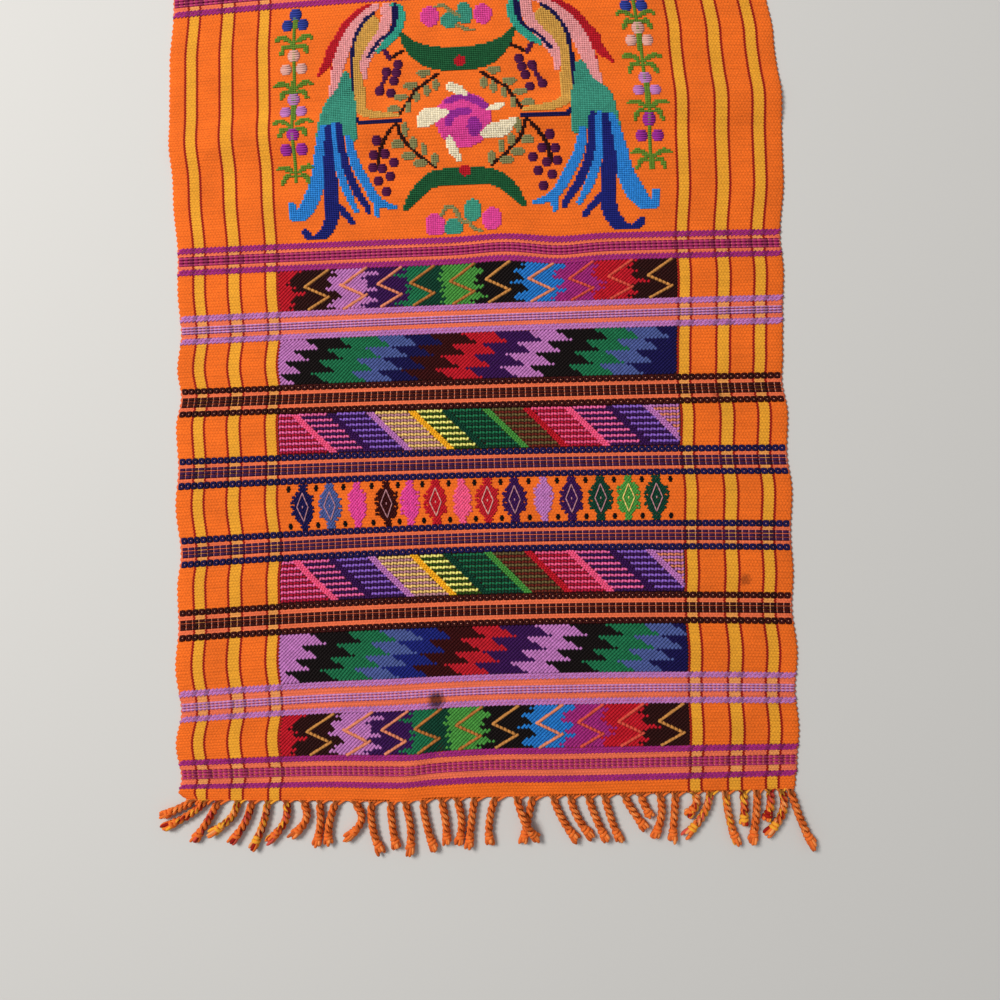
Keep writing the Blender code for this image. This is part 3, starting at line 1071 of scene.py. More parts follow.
def zigzag_lines(start, end):
    """The zigzag lines laid over the blocks, a float a pick, each slanting the way its line runs."""
    along = lattice(start, end, PICK_PITCH, FLOAT_PITCH)[1][:, 0]
    t = down_share(along, start, end)
    falling = (t > ZIGZAG_SHARES[1]) & (t < ZIGZAG_SHARES[2])
    slant = np.where(falling, -1, 1) * ZIGZAG_SLANT
    return [
        floats(tip + zigzag(t), along, dye(name), half_length, ZIGZAG_HALF_WIDTH, ZIGZAG_HEIGHT, slant)
        for tip, name, half_length in ZIGZAG_LINES
    ]


field_tables = zigzag_field(*LOWER_ZIGZAG)
figure_tables = zigzag_lines(*LOWER_ZIGZAG) + zigzag_lines(*UPPER_ZIGZAG)
print("floats in the lower zigzag field:", len(field_tables[0]))

# %% [markdown]
# The flame field: pointed tongues of colour in four tiers, each tier stepped to the left of the one
# above it.

# %% Flame fields
FLAME_RUN = 13.3
FLAME_STEP = 6.3
FLAME_TIERS = 4
FLAME_SLANT = math.radians(12)
# Where each tongue ends at the field's far edge, and its dye.
LOWER_FLAMES = (
    (-120.2, "lilac"),
    (-95.2, "black"),
    (-71.0, "green"),
    (-51.9, "slate"),
    (-31.4, "blue"),
    (-8.2, "maroon"),
    (12.1, "flame red"),
    (37.2, "purple"),
    (61.5, "lilac"),
    (86.4, "black"),
    (111.2, "green"),
    (131.1, "slate"),
    (160.0, "navy"),
)
UPPER_FLAMES = (
    (-124.5, "lilac"),
    (-100.4, "black"),
    (-72.8, "green"),
    (-53.2, "slate"),
    (-35.2, "navy"),
    (-11.5, "maroon"),
    (10.7, "red"),
    (34.9, "purple"),
    (55.5, "lilac"),
    (82.4, "black"),
    (104.2, "green"),
    (124.5, "slate"),
    (160.0, "navy"),
)


def flame_field(start, end, flames):
    """A tongue's edge runs right over each tier and then steps back to the left."""
    across, along = lattice(start, end, PICK_PITCH, FLOAT_PITCH)
    tier = down_share(along, start, end) * FLAME_TIERS
    edge_run = FLAME_RUN * (tier % 1) - FLAME_STEP * np.floor(tier)
    dyes = np.full(across.shape, dye("navy"))
    for limit, name in reversed(flames):
        dyes[across < limit + edge_run] = dye(name)
    return [floats(across, along, dyes, *STITCH_SIZE, FLAME_SLANT)]


field_tables += flame_field(*LOWER_FLAME, LOWER_FLAMES)
print("floats in the lower flame field:", len(field_tables[-1]))

# %% [markdown]
# The slanting field: solid diagonals, and between them rows of little waves in two colours.

# %% Slanting fields
WAVE_PITCH = 4.6
WAVE_ROWS = 14
WAVE_TILT = math.radians(38)
# Half length, half width and height of a wave in a light row, in a dark one, and of a diagonal's stitch.
LIGHT_WAVE = (2.0, 1.5, 1.15)
DARK_WAVE = (2.0, 1.45, 0.8)
DIAGONAL_STITCH = (1.9, 1.4, 1.2)
DIAGONAL_WIDTH = 5.4
DIAGONAL_STEP = 1.45
DIAGONAL_STRANDS = np.array([-1.9, 0.0, 1.9])
# Where each diagonal meets the field's near edge, its dye, and the light and dark wave to its left.
DIAGONALS = (
    (-102.0, "pink", "rose", "crimson"),
    (-76.1, "purple", "rose", "purple"),
    (-48.3, "lilac", "violet", "purple"),
    (-18.6, "gold", "cream", "tan"),
    (4.9, "pine", "lemon", "moss"),
    (33.9, "leaf", "green", "pine"),
    (61.9, "red", "olive", "brown"),
    (90.9, "pink", "pink", "crimson"),
    (119.9, "purple", "rose", "purple"),
    (145.9, "lilac", "violet", "purple"),
    (191.9, "clay", "lilac", "clay"),
)


def slanting_field(start, end):
    """Rows of waves, light and dark in turn, with each block moved left as it rises at 45 degrees, and
    the diagonals laid as three strands of slanted stitches."""
    across, along = lattice(start, end, (end - start) / WAVE_ROWS, WAVE_PITCH / 2, shift=0.0)
    leaning = across + (along - start)
    light_row = (np.arange(WAVE_ROWS)[:, None] % 2 == 1) & np.ones(across.shape, bool)
    column = np.arange(across.shape[1])[None, :] % 2
    dyes = np.full(across.shape, BARE)
    for foot, _, light, dark in reversed(DIAGONALS):
        dyes = np.where(leaning < foot, np.where(light_row, dye(light), dye(dark)), dyes)
    for foot, _, _, _ in DIAGONALS:
        dyes[np.abs(leaning - foot) < DIAGONAL_WIDTH / 2] = BARE
    size = [np.where(light_row, light, dark) for light, dark in zip(LIGHT_WAVE, DARK_WAVE)]
    tilt = np.where(column == 0, 1, -1) * WAVE_TILT
    tables = [floats(across, along, dyes, *size, tilt)]
    place = np.arange(start + DIAGONAL_STEP / 2, end, DIAGONAL_STEP)[:, None]
    for foot, solid, _, _ in DIAGONALS:
        aside = foot - (place - start) + DIAGONAL_STRANDS
        dyes = np.where(np.abs(aside) < FIELD_LIMIT, dye(solid), BARE)
        tables.append(floats(aside, place, dyes, *DIAGONAL_STITCH, -math.radians(45)))
    return tables


for span in (LOWER_SLANT, UPPER_SLANT):
    field_tables += slanting_field(*span)
field_tables += flame_field(*UPPER_FLAME, UPPER_FLAMES)
field_tables += zigzag_field(*UPPER_ZIGZAG)
print("floats in the fields:", sum(len(table) for table in field_tables))

# %% [markdown]
# ## Medallions
# A row of fourteen medallions, each a toothed oval of slanted floats with a stem above and below and,
# on most, a thin pale diamond with a dot. Small dark dots sit between them.

# %% Medallion row
MEDALLION_START = 189.2
MEDALLION_END = 220.0
MEDALLION_MIDDLE = (MEDALLION_START + MEDALLION_END) / 2
# The middle of each, its dye, and the dye of its diamond.
MEDALLIONS = (
    (-124.2, "navy", "tan"),
    (-105.0, "slate", "tan"),
    (-85.5, "fuchsia", ""),
    (-65.0, "maroon", "tan"),
    (-48.5, "fuchsia", ""),
    (-30.5, "red", "shell"),
    (-11.7, "pink", ""),
    (5.8, "flame red", "shell"),
    (24.7, "purple", "tan"),
    (44.8, "lilac", ""),
    (64.2, "purple", "tan"),
    (84.3, "pine", "tan"),
    (103.5, "leaf", "cream"),
    (122.7, "pine", "tan"),
)
BODY_HALF_WIDTH = 6.9
BODY_HALF_HEIGHT = 10.5
BODY_TOOTH = 3.6
TOOTH_SHARE = 0.14
STEM_HALF_WIDTH = 2.6
# The ones without a diamond are narrower.
PLAIN_SHARE = 0.82
DIAMOND_HALF_WIDTH = 4.0
DIAMOND_HALF_HEIGHT = 9.8
# How far the dots stand from the middle, and each float of a dot as its rise and half length.
DOT_REACH = 12.7
DOT_FLOATS = ((-1.4, 1.1), (0.0, 1.7), (1.4, 1.1))
# Half length, half width and height of the floats.
BODY_SIZE = (1.9, 1.65, 0.85)
DIAMOND_SIZE = (2.1, 0.65, 1.5)
DIAMOND_DOT = (1.0, 0.7, 1.3)
DOT_SIZE = (0.95, 1.0)


def diamond_floats(centre, middle, name):
    """A thin diamond of three threads a side, with a dot in it."""
    share = np.array([0.17, 0.5, 0.83])
    slope = math.atan2(DIAMOND_HALF_HEIGHT, DIAMOND_HALF_WIDTH)
    tables = [floats(centre, middle, dye(name), *DIAMOND_DOT, math.radians(90))]
    for right in (-1, 1):
        for up in (-1, 1):
            across = centre + right * DIAMOND_HALF_WIDTH * share
            along = middle + up * DIAMOND_HALF_HEIGHT * (1 - share)
            tables.append(floats(across, along, dye(name), *DIAMOND_SIZE, -right * up * slope))
    return tables


def medallion_floats():
    """Toothed ovals and stems on a fine lattice: the half width is that of a squarish oval,
    (1 - up^4)^(1/4), times a square wave for the teeth, and never less than the stem's."""
    across, along = lattice(MEDALLION_START, MEDALLION_END, PICK_PITCH, 2.2)
    up = np.abs(along - MEDALLION_MIDDLE)
    toothed = 1.0 + TOOTH_SHARE * np.sign(np.sin(up * 2 * math.pi / BODY_TOOTH + 1.2))
    round_share = np.clip(1 - (up / BODY_HALF_HEIGHT) ** 4, 0, 1) ** 0.25
    reach = np.maximum(BODY_HALF_WIDTH * toothed * round_share, STEM_HALF_WIDTH)
    dyes = np.full(across.shape, BARE)
    for centre, name, diamond in MEDALLIONS:
        dyes[np.abs(across - centre) < reach * (1.0 if diamond else PLAIN_SHARE)] = dye(name)
    lean = np.where(across % 5 < 2.5, 1, -1) * math.radians(30)
    return [floats(across, along, dyes, *BODY_SIZE, lean)]


def medallion_details():
    """The diamonds on the medallions and the dark dots between them, as longer floats."""
    tables = []
    for centre, _, diamond in MEDALLIONS:
        if diamond:
            tables += diamond_floats(centre, MEDALLION_MIDDLE, diamond)
    centres = np.array([centre for centre, _, _ in MEDALLIONS])
    between = np.concatenate([[centres[0] - 10], (centres[1:] + centres[:-1]) / 2, [centres[-1] + 10]])
    for row in (-DOT_REACH, DOT_REACH):
        for rise, half_length in DOT_FLOATS:
            along = MEDALLION_MIDDLE + row + rise
            tables.append(floats(between, along, dye("black"), half_length, *DOT_SIZE))
    return tables


field_tables += medallion_floats()
figure_tables += medallion_details()
print("with the medallions:", sum(len(table) for table in field_tables))

# %% [markdown]
# ## Bird panel
# The widest panel has two birds that face each other round a rose, with garlands, grapes and two
# columns of small flowers. It is a folk pattern, drawn here from a few round spots and tapering
# strokes: a stroke is a smooth curve through a handful of places with a width at each. A float is
# woven wherever its place falls inside one of these shapes, later shapes over earlier ones.

# %% Spots and strokes
PANEL_START = 394.0
PANEL_END = 566.0
PANEL_AXIS = -6.5
CELL_ACROSS = 1.6
CELL_ALONG = 1.42
PANEL_FLOAT = (1.3, 1.1, 0.65)
CURVE_STEPS = 6


def smooth_curve(knots):
    """A Catmull-Rom curve through rows of (right, up, width), with CURVE_STEPS places a span."""
    knots = np.asarray(knots, float)
    padded = np.concatenate([[2 * knots[0] - knots[1]], knots, [2 * knots[-1] - knots[-2]]])
    t = np.linspace(0, 1, CURVE_STEPS, endpoint=False)[:, None, None]
    a, b, c, d = padded[:-3], padded[1:-2], padded[2:-1], padded[3:]
    spans = 0.5 * (2 * b + (c - a) * t + (2 * a - 5 * b + 4 * c - d) * t**2 + (3 * b - a - 3 * c + d) * t**3)
    return np.concatenate([spans.transpose(1, 0, 2).reshape(-1, 3), knots[-1:]])


def in_stroke(right, up, knots):
    """True within half the width of a smooth curve: the distance to each of its short straight parts
    is compared with the width there."""
    curve = smooth_curve(knots)
    start = curve[:-1]
    run = curve[1:] - start
    gone = (right[..., None] - start[:, 0]) * run[:, 0] + (up[..., None] - start[:, 1]) * run[:, 1]
    share = np.clip(gone / (run[:, 0] ** 2 + run[:, 1] ** 2), 0, 1)
    nearest = start + share[..., None] * run
    away = np.hypot(right[..., None] - nearest[..., 0], up[..., None] - nearest[..., 1])
    return np.any(away < nearest[..., 2] / 2, axis=-1)


def in_spot(right, up, centre_right, centre_up, half_width, half_height):
    """True inside an upright ellipse."""
    return ((right - centre_right) / half_width) ** 2 + ((up - centre_up) / half_height) ** 2 < 1


print("the panel's places are", CELL_ACROSS, "x", CELL_ALONG, "mm apart")

# %% [markdown]
# Only the left bird is drawn, with its half of the garlands. The right one is found by folding every
# place over to the left half, so a change to one stroke changes both birds.

# %% The bird, its garlands and its grapes
# Strokes of one bird and its half of the garlands, as (right, up, width) from the panel's axis and
# near edge. The other half is their mirror image.
HALF_STROKES = (
    ("forest", ((-40, 148, 3), (-33, 138.5, 9), (-22, 131, 15), (-11, 128.5, 17), (0, 127.5, 17))),
    ("forest", ((-41.5, 20, 4), (-35, 29, 8), (-27, 37, 10), (-18, 41, 12), (0, 42.3, 13))),
    ("bark", ((-42.5, 88, 2), (-37, 97.5, 2), (-32, 105.5, 2), (-24.5, 111, 2), (-16, 117, 2))),
    ("bark", ((-45, 79.5, 2), (-41.5, 70, 2), (-34.5, 62, 2), (-26.5, 54.5, 2), (-19.5, 49.5, 2))),
    ("bark", ((-38.2, 136.5, 1.8), (-43.5, 133.7, 1.8), (-48.9, 130.5, 1.8))),
    ("bark", ((-45, 81, 1.8), (-50, 76, 1.8), (-58, 64, 1.8), (-60, 50, 1.8))),
    ("grape", ((-53, 138, 2.4), (-49, 131, 2.4))),
    ("grape", ((-52, 119, 2.4), (-56, 109, 2.4))),
    ("red", ((-60, 171, 4), (-70, 166, 6), (-80, 157, 6), (-87, 145, 6), (-93, 132, 6), (-98, 124, 2))),
    ("red", ((-84, 140, 5), (-89, 125, 4), (-90, 109, 4), (-94, 98, 2.4))),
    ("red", ((-82, 152, 6), (-89, 144, 5), (-94, 139, 1.5))),
    ("red", ((-90, 136, 6), (-96, 128, 4), (-100, 122, 1.5))),
    ("blush", ((-58, 170, 5), (-68, 162, 7), (-77, 150, 9), (-84, 134, 9), (-88, 118, 7), (-91, 103, 4))),
    ("blush", ((-50, 168, 8), (-50, 160, 8), (-56, 148, 8), (-62, 139, 8), (-67, 128, 6), (-67, 118, 3))),
    ("sand", ((-62, 160, 8), (-62, 155, 12), (-69, 143, 9), (-73, 128, 6), (-71, 108, 7),
              (-68.5, 91, 6.5), (-45, 86.5, 3.4))),
    ("navy", ((-60, 165, 2.4), (-67, 159, 2.4), (-74, 145, 2.4), (-76, 126, 2.4), (-76, 103, 2.4),
              (-73, 84, 2.8), (-60, 83, 2.8), (-43, 82, 2.8))),
    ("teal", ((-81, 120, 6), (-82, 108, 12), (-86, 95, 22), (-88, 84, 24), (-100, 70, 6))),
    ("teal", ((-77, 98, 8), (-77, 72, 6))),
    ("aqua", ((-45, 170, 5), (-41, 166, 6), (-40, 158, 5), (-44, 149, 5), (-51, 142, 5), (-57, 137, 3))),
    ("navy", ((-44, 171, 2.4), (-44, 163, 5), (-47, 151, 2.4), (-56, 144, 2.4), (-64, 133, 2.4))),
    ("bright blue", ((-97, 80, 5), (-101, 62, 8), (-104, 42, 10), (-110, 27, 11), (-116, 19, 9),
                     (-122, 18, 6), (-123, 27, 4))),
    ("blue", ((-93, 80, 5), (-95, 55, 8), (-94, 30, 9), (-95, 15, 9), (-101, 4, 8), (-109, 0, 6),
              (-115, 6, 4))),
    ("blue", ((-90, 24, 5), (-84, 17, 4), (-80, 11, 3))),
    ("bright blue", ((-90, 82, 4), (-89, 56, 5), (-84, 37, 5), (-77, 20, 3))),
    ("blue", ((-86, 82, 4), (-84, 56, 5), (-77, 36, 5), (-70, 24, 4), (-68, 19, 3))),
    ("bright blue", ((-80, 72, 4), (-77, 56, 6), (-69, 39, 6), (-61, 26, 6), (-49, 21, 3))),
    ("bright blue", ((-62, 22, 4), (-62, 16, 3))),
)
# The weaver's right half is a little wider: places on it, and what they mirror on the left one.
RIGHT_HALF = ((0, 50, 77.4, 108, 133, 200), (0, 50, 74, 100, 122, 189))
# Grapes, all of one size, and the leaves of the two sprays: right, up, half width and half height.
GRAPES = np.array(
    (
        ((-43, 126), (-51.5, 121), (-44.5, 120), (-46.5, 114), (-57, 107), (-49, 105))
        + ((-60, 69.5), (-63, 60), (-55, 60.5), (-49, 54), (-64, 51), (-57.5, 50))
        + ((-52, 44), (-60.5, 41), (-55, 33))
    )
)
GRAPE_RADIUS = 3.7
SPRAY_LEAVES = (
    ((-24.8, 118.5), (-35, 110), (-42, 101.5), (-47, 92), (4.8, 2.8)),
    ((-17, 109.5), (-23.4, 105.4), (-31, 101), (-37, 92.5), (1.9, 4.8)),
    ((-45.6, 66.5), (-38.6, 58.5), (-30.5, 52.6), (4.6, 3.2)),
    ((-39.6, 76.2), (-34.4, 67), (-27.3, 62), (-20, 55), (2.1, 4.6)),
)
print(len(HALF_STROKES), "strokes a bird,", len(GRAPES), "grapes a side")

# %% [markdown]
# The rose, the buds and the two columns of small flowers aren't mirrored, so each is drawn in full.

# %% The rose, the buds and the flower columns
# Shapes that stand once: spots as dye, right, up, half width and half height, and strokes.
WHOLE_SPOTS = (
    ("red", 1, 126, 4.2, 4.2),
    ("red", 1, 46, 4.2, 4.2),
    ("fuchsia", -21, 6.5, 6.9, 9),
    ("fuchsia", 19.5, 9.7, 6.6, 8.3),
    ("fuchsia", -19, 160, 6.4, 7.4),
    ("fuchsia", 19, 160, 6.4, 7.4),
    ("teal", 5.6, 16.5, 5.8, 8.6),
    ("teal", -8, 4.6, 6.2, 6.8),
    ("teal", 6, 161, 5.4, 8.2),
    ("teal", -5, 156.4, 6, 5.8),
    ("fuchsia", 1.5, 82.4, 19, 19.8),
    ("orchid", 9, 76, 5, 6.5),
)
WHOLE_STROKES = (
    ("sage", ((-17, 14, 2.2), (-11.5, 20.5, 2.6), (-6, 17, 2.6), (-3, 10, 2.6), (1.5, 8.5, 2.4))),
    ("sage", ((2, 9, 2.2), (6, 4, 2.2), (12.5, 0.8, 2))),
    ("sage", ((-14.5, 167, 2.2), (-9, 168, 2.4), (-4, 163, 2.4), (3, 159, 2.2))),
    ("sage", ((0, 153, 2.2), (7, 149, 2.2), (12.5, 148.5, 2))),
    ("orchid", ((-9, 95.6, 5), (0, 99.3, 6), (9, 96.5, 6), (17, 90, 5))),
    ("orchid", ((-8.6, 78.6, 5), (-5.7, 85, 6), (5.3, 87, 5))),
    ("ecru", ((-6.8, 107.8, 6), (-1.2, 104.6, 7), (4.8, 100.8, 2))),
    ("ecru", ((-27.5, 79.5, 6), (-21.8, 84.5, 13), (-11, 86.5, 5))),
    ("ecru", ((-8.5, 68, 5), (-6.5, 60.5, 6), (-2.2, 53.5, 3))),
    ("ecru", ((19.5, 87.5, 2.5), (25.5, 89.5, 5), (30.2, 91.4, 2))),
    ("ecru", ((15.2, 70.7, 4), (22.9, 73, 10), (30.3, 74.8, 9), (37.4, 79.5, 3))),
)
# A berry's rows as shares of its radius, how high it stands, and the sizes in the flower columns.
BERRY_ROWS = np.array((-0.72, -0.36, 0.0, 0.36, 0.72))
BERRY_HEIGHT = 0.9
PAIR_REACH = 5.6
PAIR_RADIUS = 4.4
TOP_RADIUS = 4.8
# Flower columns: the stem, and each cluster's top berry, pair of berries and leaf joint, as heights,
# with its dye.
FLOWER_COLUMNS = (
    (
        ((-119.3, 44, 2.2), (-118.5, 105, 2.2), (-117.0, 165, 2.2)),
        ((168, 160.5, 148, "berry"), (138, 128, 113.5, "shell"), (105, 95.5, 84, "lilac"),
         (77, 66.5, 50.5, "orchid")),
    ),
    (
        ((131.5, 44, 2.2), (129.5, 107, 2.2), (127, 165, 2.2)),
        ((170, 162, 154, "berry"), (146, 137, 122, "shell"), (109, 99, 86, "lilac"), (78, 67, 52, "orchid")),
    ),
)
# The upper and the lower leaf at a joint, as strokes from the joint outwards.
COLUMN_LEAVES = (
    ((2, 0, 2), (6, 3, 3.5), (10, 4, 3.2), (13, 2.5, 2.2)),
    ((2, -3, 2), (7, -3, 3.2), (9.5, -8, 2.2)),
)
print(len(WHOLE_SPOTS), "spots and", len(WHOLE_STROKES), "strokes that stand once")

# %% [markdown]
# Painting works on whole arrays: one test gives true or false for every place at once, and the places
# that are true take the dye. Later shapes cover earlier ones.


# %% Painting the panel
def flower_column(right, up, dyes, stem, clusters):
    """Paint one column into the dyes: its stem, and at each cluster two pairs of leaves."""
    dyes[in_stroke(right, up, stem)] = dye("fern")
    stem = np.array(stem, float)
    for _, _, joint, _ in clusters:
        middle = np.interp(joint, stem[:, 1], stem[:, 0])
        for side in (-1, 1):
            for leaf in COLUMN_LEAVES:
                knots = [(middle + side * aside, joint + rise, width) for aside, rise, width in leaf]
                dyes[in_stroke(right, up, knots)] = dye("fern")


def panel_dyes(across, along):
    """The dye of every place in the panel, or BARE where the ground shows."""
    right = across - PANEL_AXIS
    up = along - PANEL_START
    dyes = np.full(right.shape, BARE)
    half = np.where(right < 0, right, -np.interp(right, *RIGHT_HALF))
    for name, knots in HALF_STROKES:
        dyes[in_stroke(half, up, knots)] = dye(name)
    for *places, size in SPRAY_LEAVES:
        for place in places:
            dyes[in_spot(half, up, *place, *size)] = dye("sage")
    for name, *spot in WHOLE_SPOTS:
        dyes[in_spot(right, up, *spot)] = dye(name)
    for name, knots in WHOLE_STROKES:
        dyes[in_stroke(right, up, knots)] = dye(name)
    for stem, clusters in FLOWER_COLUMNS:
        flower_column(right, up, dyes, stem, clusters)
    return dyes


across, along = lattice(PANEL_START, PANEL_END, CELL_ALONG, CELL_ACROSS, shift=0.0)
panel_table = floats(across, along, panel_dyes(across, along), *PANEL_FLOAT)
print("floats in the bird panel:", len(panel_table))

# %% [markdown]
# Grapes and berries are too small for the lattice, which would turn them into squares. Each is a stack
# of five floats of its own, long in the middle and short at the ends.


# %% Grapes and berries
def berries(right, up, radius, name):
    """Each berry is a stack of floats, as long as its circle is wide at their height: a float's half
    length is sqrt(radius^2 - rise^2). right and up hold one berry a row."""
    rise = BERRY_ROWS * radius
    half_length = np.sqrt(radius**2 - rise**2)
    along = PANEL_START + up + rise
    return floats(PANEL_AXIS + right, along, dye(name), half_length, radius / 4, BERRY_HEIGHT)


def column_berries(stem, clusters):
    """Each cluster's berry at the top and the pair below it."""
    stem = np.array(stem, float)
    tables = []
    for top, pair, _, name in clusters:
        middle = np.interp([pair, top], stem[:, 1], stem[:, 0])
        sides = middle[0] + np.array([[-PAIR_REACH], [PAIR_REACH]])
        tables.append(berries(sides, pair, PAIR_RADIUS, name))
        tables.append(berries(middle[1], top, TOP_RADIUS, name))
    return tables


left, up = GRAPES[:, :1], GRAPES[:, 1:]
right = np.interp(-left, RIGHT_HALF[1], RIGHT_HALF[0])
figure_tables += [berries(side, up, GRAPE_RADIUS, "grape") for side in (left, right)]
for stem, clusters in FLOWER_COLUMNS:
    figure_tables += column_berries(stem, clusters)
print("floats that lie on others:", sum(len(table) for table in figure_tables))

# %% [markdown]
# The fields and medallions are woven from short stitches, and the figures and the panel from long
# floats.

# %% Weaving the brocade
for end, turned in (("front", False), ("back", True)):
    weave(f"brocade_{end}", field_tables, SHORT_STITCH, turned)
    weave(f"figures_{end}", [*figure_tables, panel_table], LONG_FLOAT, turned)

# %% [markdown]
# ## Twisted cords
# At each end the warp threads are divided into groups, and each group is split in two, twisted, and
# let to twist back on itself, which gives a two-ply cord. A knot holds its tip, and the threads past
# the knot make a small tuft. Every part is a tube: a circle carried along a path.

# %% Cord table
# x of the root, the bow to the right, x of the tip, how far the tip reaches past the cloth's end, and
# how high the cord rises to pass over a neighbour.
CORDS = np.array(
    (
        (-204.3, 1.3, -227.6, 10.4, 0),
        (-195.8, 4.2, -228.0, 19.2, 0),
        (-186.6, 1.4, -205.0, 28.0, 0),
        (-173.4, 6.0, -194.5, 23.2, 0),
        (-163.2, 3.5, -179.4, 29.2, 0),
        (-151.9, 2.5, -164.0, 33.5, 0),
        (-139.5, 6.8, -154.2, 28.7, 0),
        (-128.0, 7.7, -137.4, 25.1, 0),
        (-115.9, 2.3, -118.8, 31.2, 0),
        (-103.8, -2.1, -109.5, 30.6, 0),
        (-92.4, 9.4, -99.4, 25.9, 0),
        (-79.0, -3.3, -71.5, 36.4, 0),
        (-66.1, -0.9, -61.9, 33.3, 0),
        (-56.5, 2.8, -54.0, 36.5, 0),
        (-43.7, -1.5, -35.4, 35.1, 0),
        (-31.0, 1.4, -28.0, 31.4, 0),
        (-20.6, 3.4, -20.6, 32.2, 0),
        (-7.9, -0.4, -12.7, 35.5, 0),
        (6.4, -2.4, 2.1, 33.3, 0),
        (20.7, -1.6, 35.7, 30.5, 7.0),
        (32.1, -0.3, 24.4, 32.0, 0),
        (45.9, -2.2, 62.6, 30.9, 0),
        (57.8, -2.9, 72.6, 28.6, 0),
        (69.6, -0.9, 82.2, 31.5, 0),
        (80.9, -1.0, 91.4, 32.4, 0),
        (93.9, -0.8, 108.4, 23.0, 0),
        (104.8, -0.1, 111.6, 15.2, 0),
        (118.1, 3.5, 112.4, 30.3, 0),
        (128.9, 0.2, 125.4, 33.4, 0),
        (141.0, 4.6, 134.8, 15.4, 0),
        (152.2, 4.2, 132.8, 30.1, 0),
        (162.7, -1.6, 169.8, 36.1, 0),
        (174.2, 1.0, 173.4, 23.2, 0),
        (183.8, 1.0, 178.6, 36.6, 0),
        (191.8, 2.2, 188.2, 20.6, 0),
        (199.6, 6.6, 187.0, 31.0, 0),
        (206.0, -1.5, 220.8, 39.9, 0),
    )
)
# The five strands of each ply. A plain orange cord has the cord's orange with a painted highlight on one
# strand and painted shade on another, and the cords listed are the ones that aren't plain orange.
PLAIN_STRANDS = ("cord", "cord painted highlight", "cord", "cord painted shade", "cord")
MIXED_STRANDS = {
    1: ("cord", "yellow", "cord", "stripe red", "cord"),
    2: ("cord", "stripe red", "coral", "cord", "cord"),
    3: ("yellow", "cord", "peach", "yellow", "stripe red"),
    4: ("cord", "coral", "stripe red", "cord", "cord"),
    5: ("yellow", "cord", "stripe red", "peach", "cord"),
    6: ("cord", "coral", "cord", "stripe red", "yellow"),
    29: ("cord", "yellow", "stripe red", "cord", "peach"),
    30: ("yellow", "cord", "cord", "peach", "coral"),
    31: ("cord", "peach", "cord", "cord", "yellow"),
    32: ("yellow", "stripe red", "cord", "coral", "yellow"),
    34: ("stripe red", "yellow", "cord", "cord", "coral"),
    35: ("yellow", "cord", "peach", "cord", "stripe red"),
}
STRANDS = 5
print(len(CORDS), "cords an end,", len(MIXED_STRANDS), "of them with threads of other colours")

# %% [markdown]
# Blender's curves can carry a round bevel, but not a section with flutes or a colour for each strand.
# The tubes here are made from arrays instead, all cords at once: paths is (cord, ring, xyz).

# %% Tubes and paths
PLY_RADIUS = 1.42
PLY_OFFSET = 1.34
TURN_LENGTH = 8.4


def end_line(x):
    """y of the cloth's near end at each x."""
    end_x, end_y = near_point(TOP_ACROSS / HALF_WIDTH, 0.0)
    return np.interp(x, end_x, end_y)


def level_sideways(heading):
    """The level unit vector square to each heading: (-y, x, 0) over its length."""
    sideways = np.stack([-heading[..., 1], heading[..., 0], np.zeros(heading.shape[:2])], -1)
    sideways /= np.linalg.norm(sideways, axis=-1, keepdims=True)
    return sideways


def tubes(paths, radii, sides, turn=0.0):
    """Tubes along paths (tube, ring, xyz): at each ring a circle in the plane of the sideways vector,
    level and square to the heading, and the one square to both. radii is (tube, ring, 1 or sides), and
    turn twists each ring by its own angle."""
    heading = np.gradient(paths, axis=1)
    heading /= np.linalg.norm(heading, axis=-1, keepdims=True)
    sideways = level_sideways(heading)
    upright = np.cross(heading, sideways)
    angle = np.arange(sides) * 2 * math.pi / sides + np.zeros((*paths.shape[:2], 1))
    angle = angle + np.asarray(turn)[..., None]
    circle = (
        np.cos(angle)[..., None] * sideways[..., None, :] + np.sin(angle)[..., None] * upright[..., None, :]
    )
    points = paths[..., None, :] + radii[..., None] * circle
    count, rings = paths.shape[:2]
    index = np.arange(count * rings * sides).reshape(count, rings, sides)
    around = np.roll(index, -1, -1)
    walls = np.stack([index[:, :-1], around[:, :-1], around[:, 1:], index[:, 1:]], -1).reshape(-1, 4)
    starts = index[:, 0, ::-1]
    ends = index[:, -1]
    return points.reshape(-1, 3), walls, np.concatenate([starts, ends])


def cord_centres(share, cords=slice(None)):
    """Each cord's middle line: a quadratic curve from its root to its tip, bowed to the right, resting
    on the surface, with a hump where it passes over a neighbour. share is (cord, ring), and cords
    picks other cords than all of them in turn."""
    root, bow, tip, reach, over = (column[:, None] for column in CORDS[cords].T)
    line = end_line(root)
    start = np.stack([root, line], -1)
    stop = np.stack([tip, line - reach], -1)
    control = (start + stop) / 2 + np.stack([2 * bow, 0 * bow], -1)
    t = share[..., None]
    flat = (1 - t) ** 2 * start + 2 * t * (1 - t) * control + t**2 * stop
    height = PLY_RADIUS + PLY_OFFSET + over * np.sin(math.pi * share) ** 2
    return np.concatenate([flat, height[..., None]], -1)


def helix(paths, phase, offset):
    """A path wound round another: offset times the cosine sideways and the sine upwards."""
    sideways = level_sideways(np.gradient(paths, axis=1))
    upright = np.array([0.0, 0.0, 1.0])
    around = np.cos(phase)[..., None] * sideways + np.sin(phase)[..., None] * upright
    return paths + offset[..., None] * around


print("a ply goes once round every", TURN_LENGTH, "mm")

# %% [markdown]
# Each ply starts beside the cord's root, flat against the cloth's end, and then winds round its
# partner. Its own strands turn the other way, as they do in a real cord, which is what keeps it from
# coming undone.

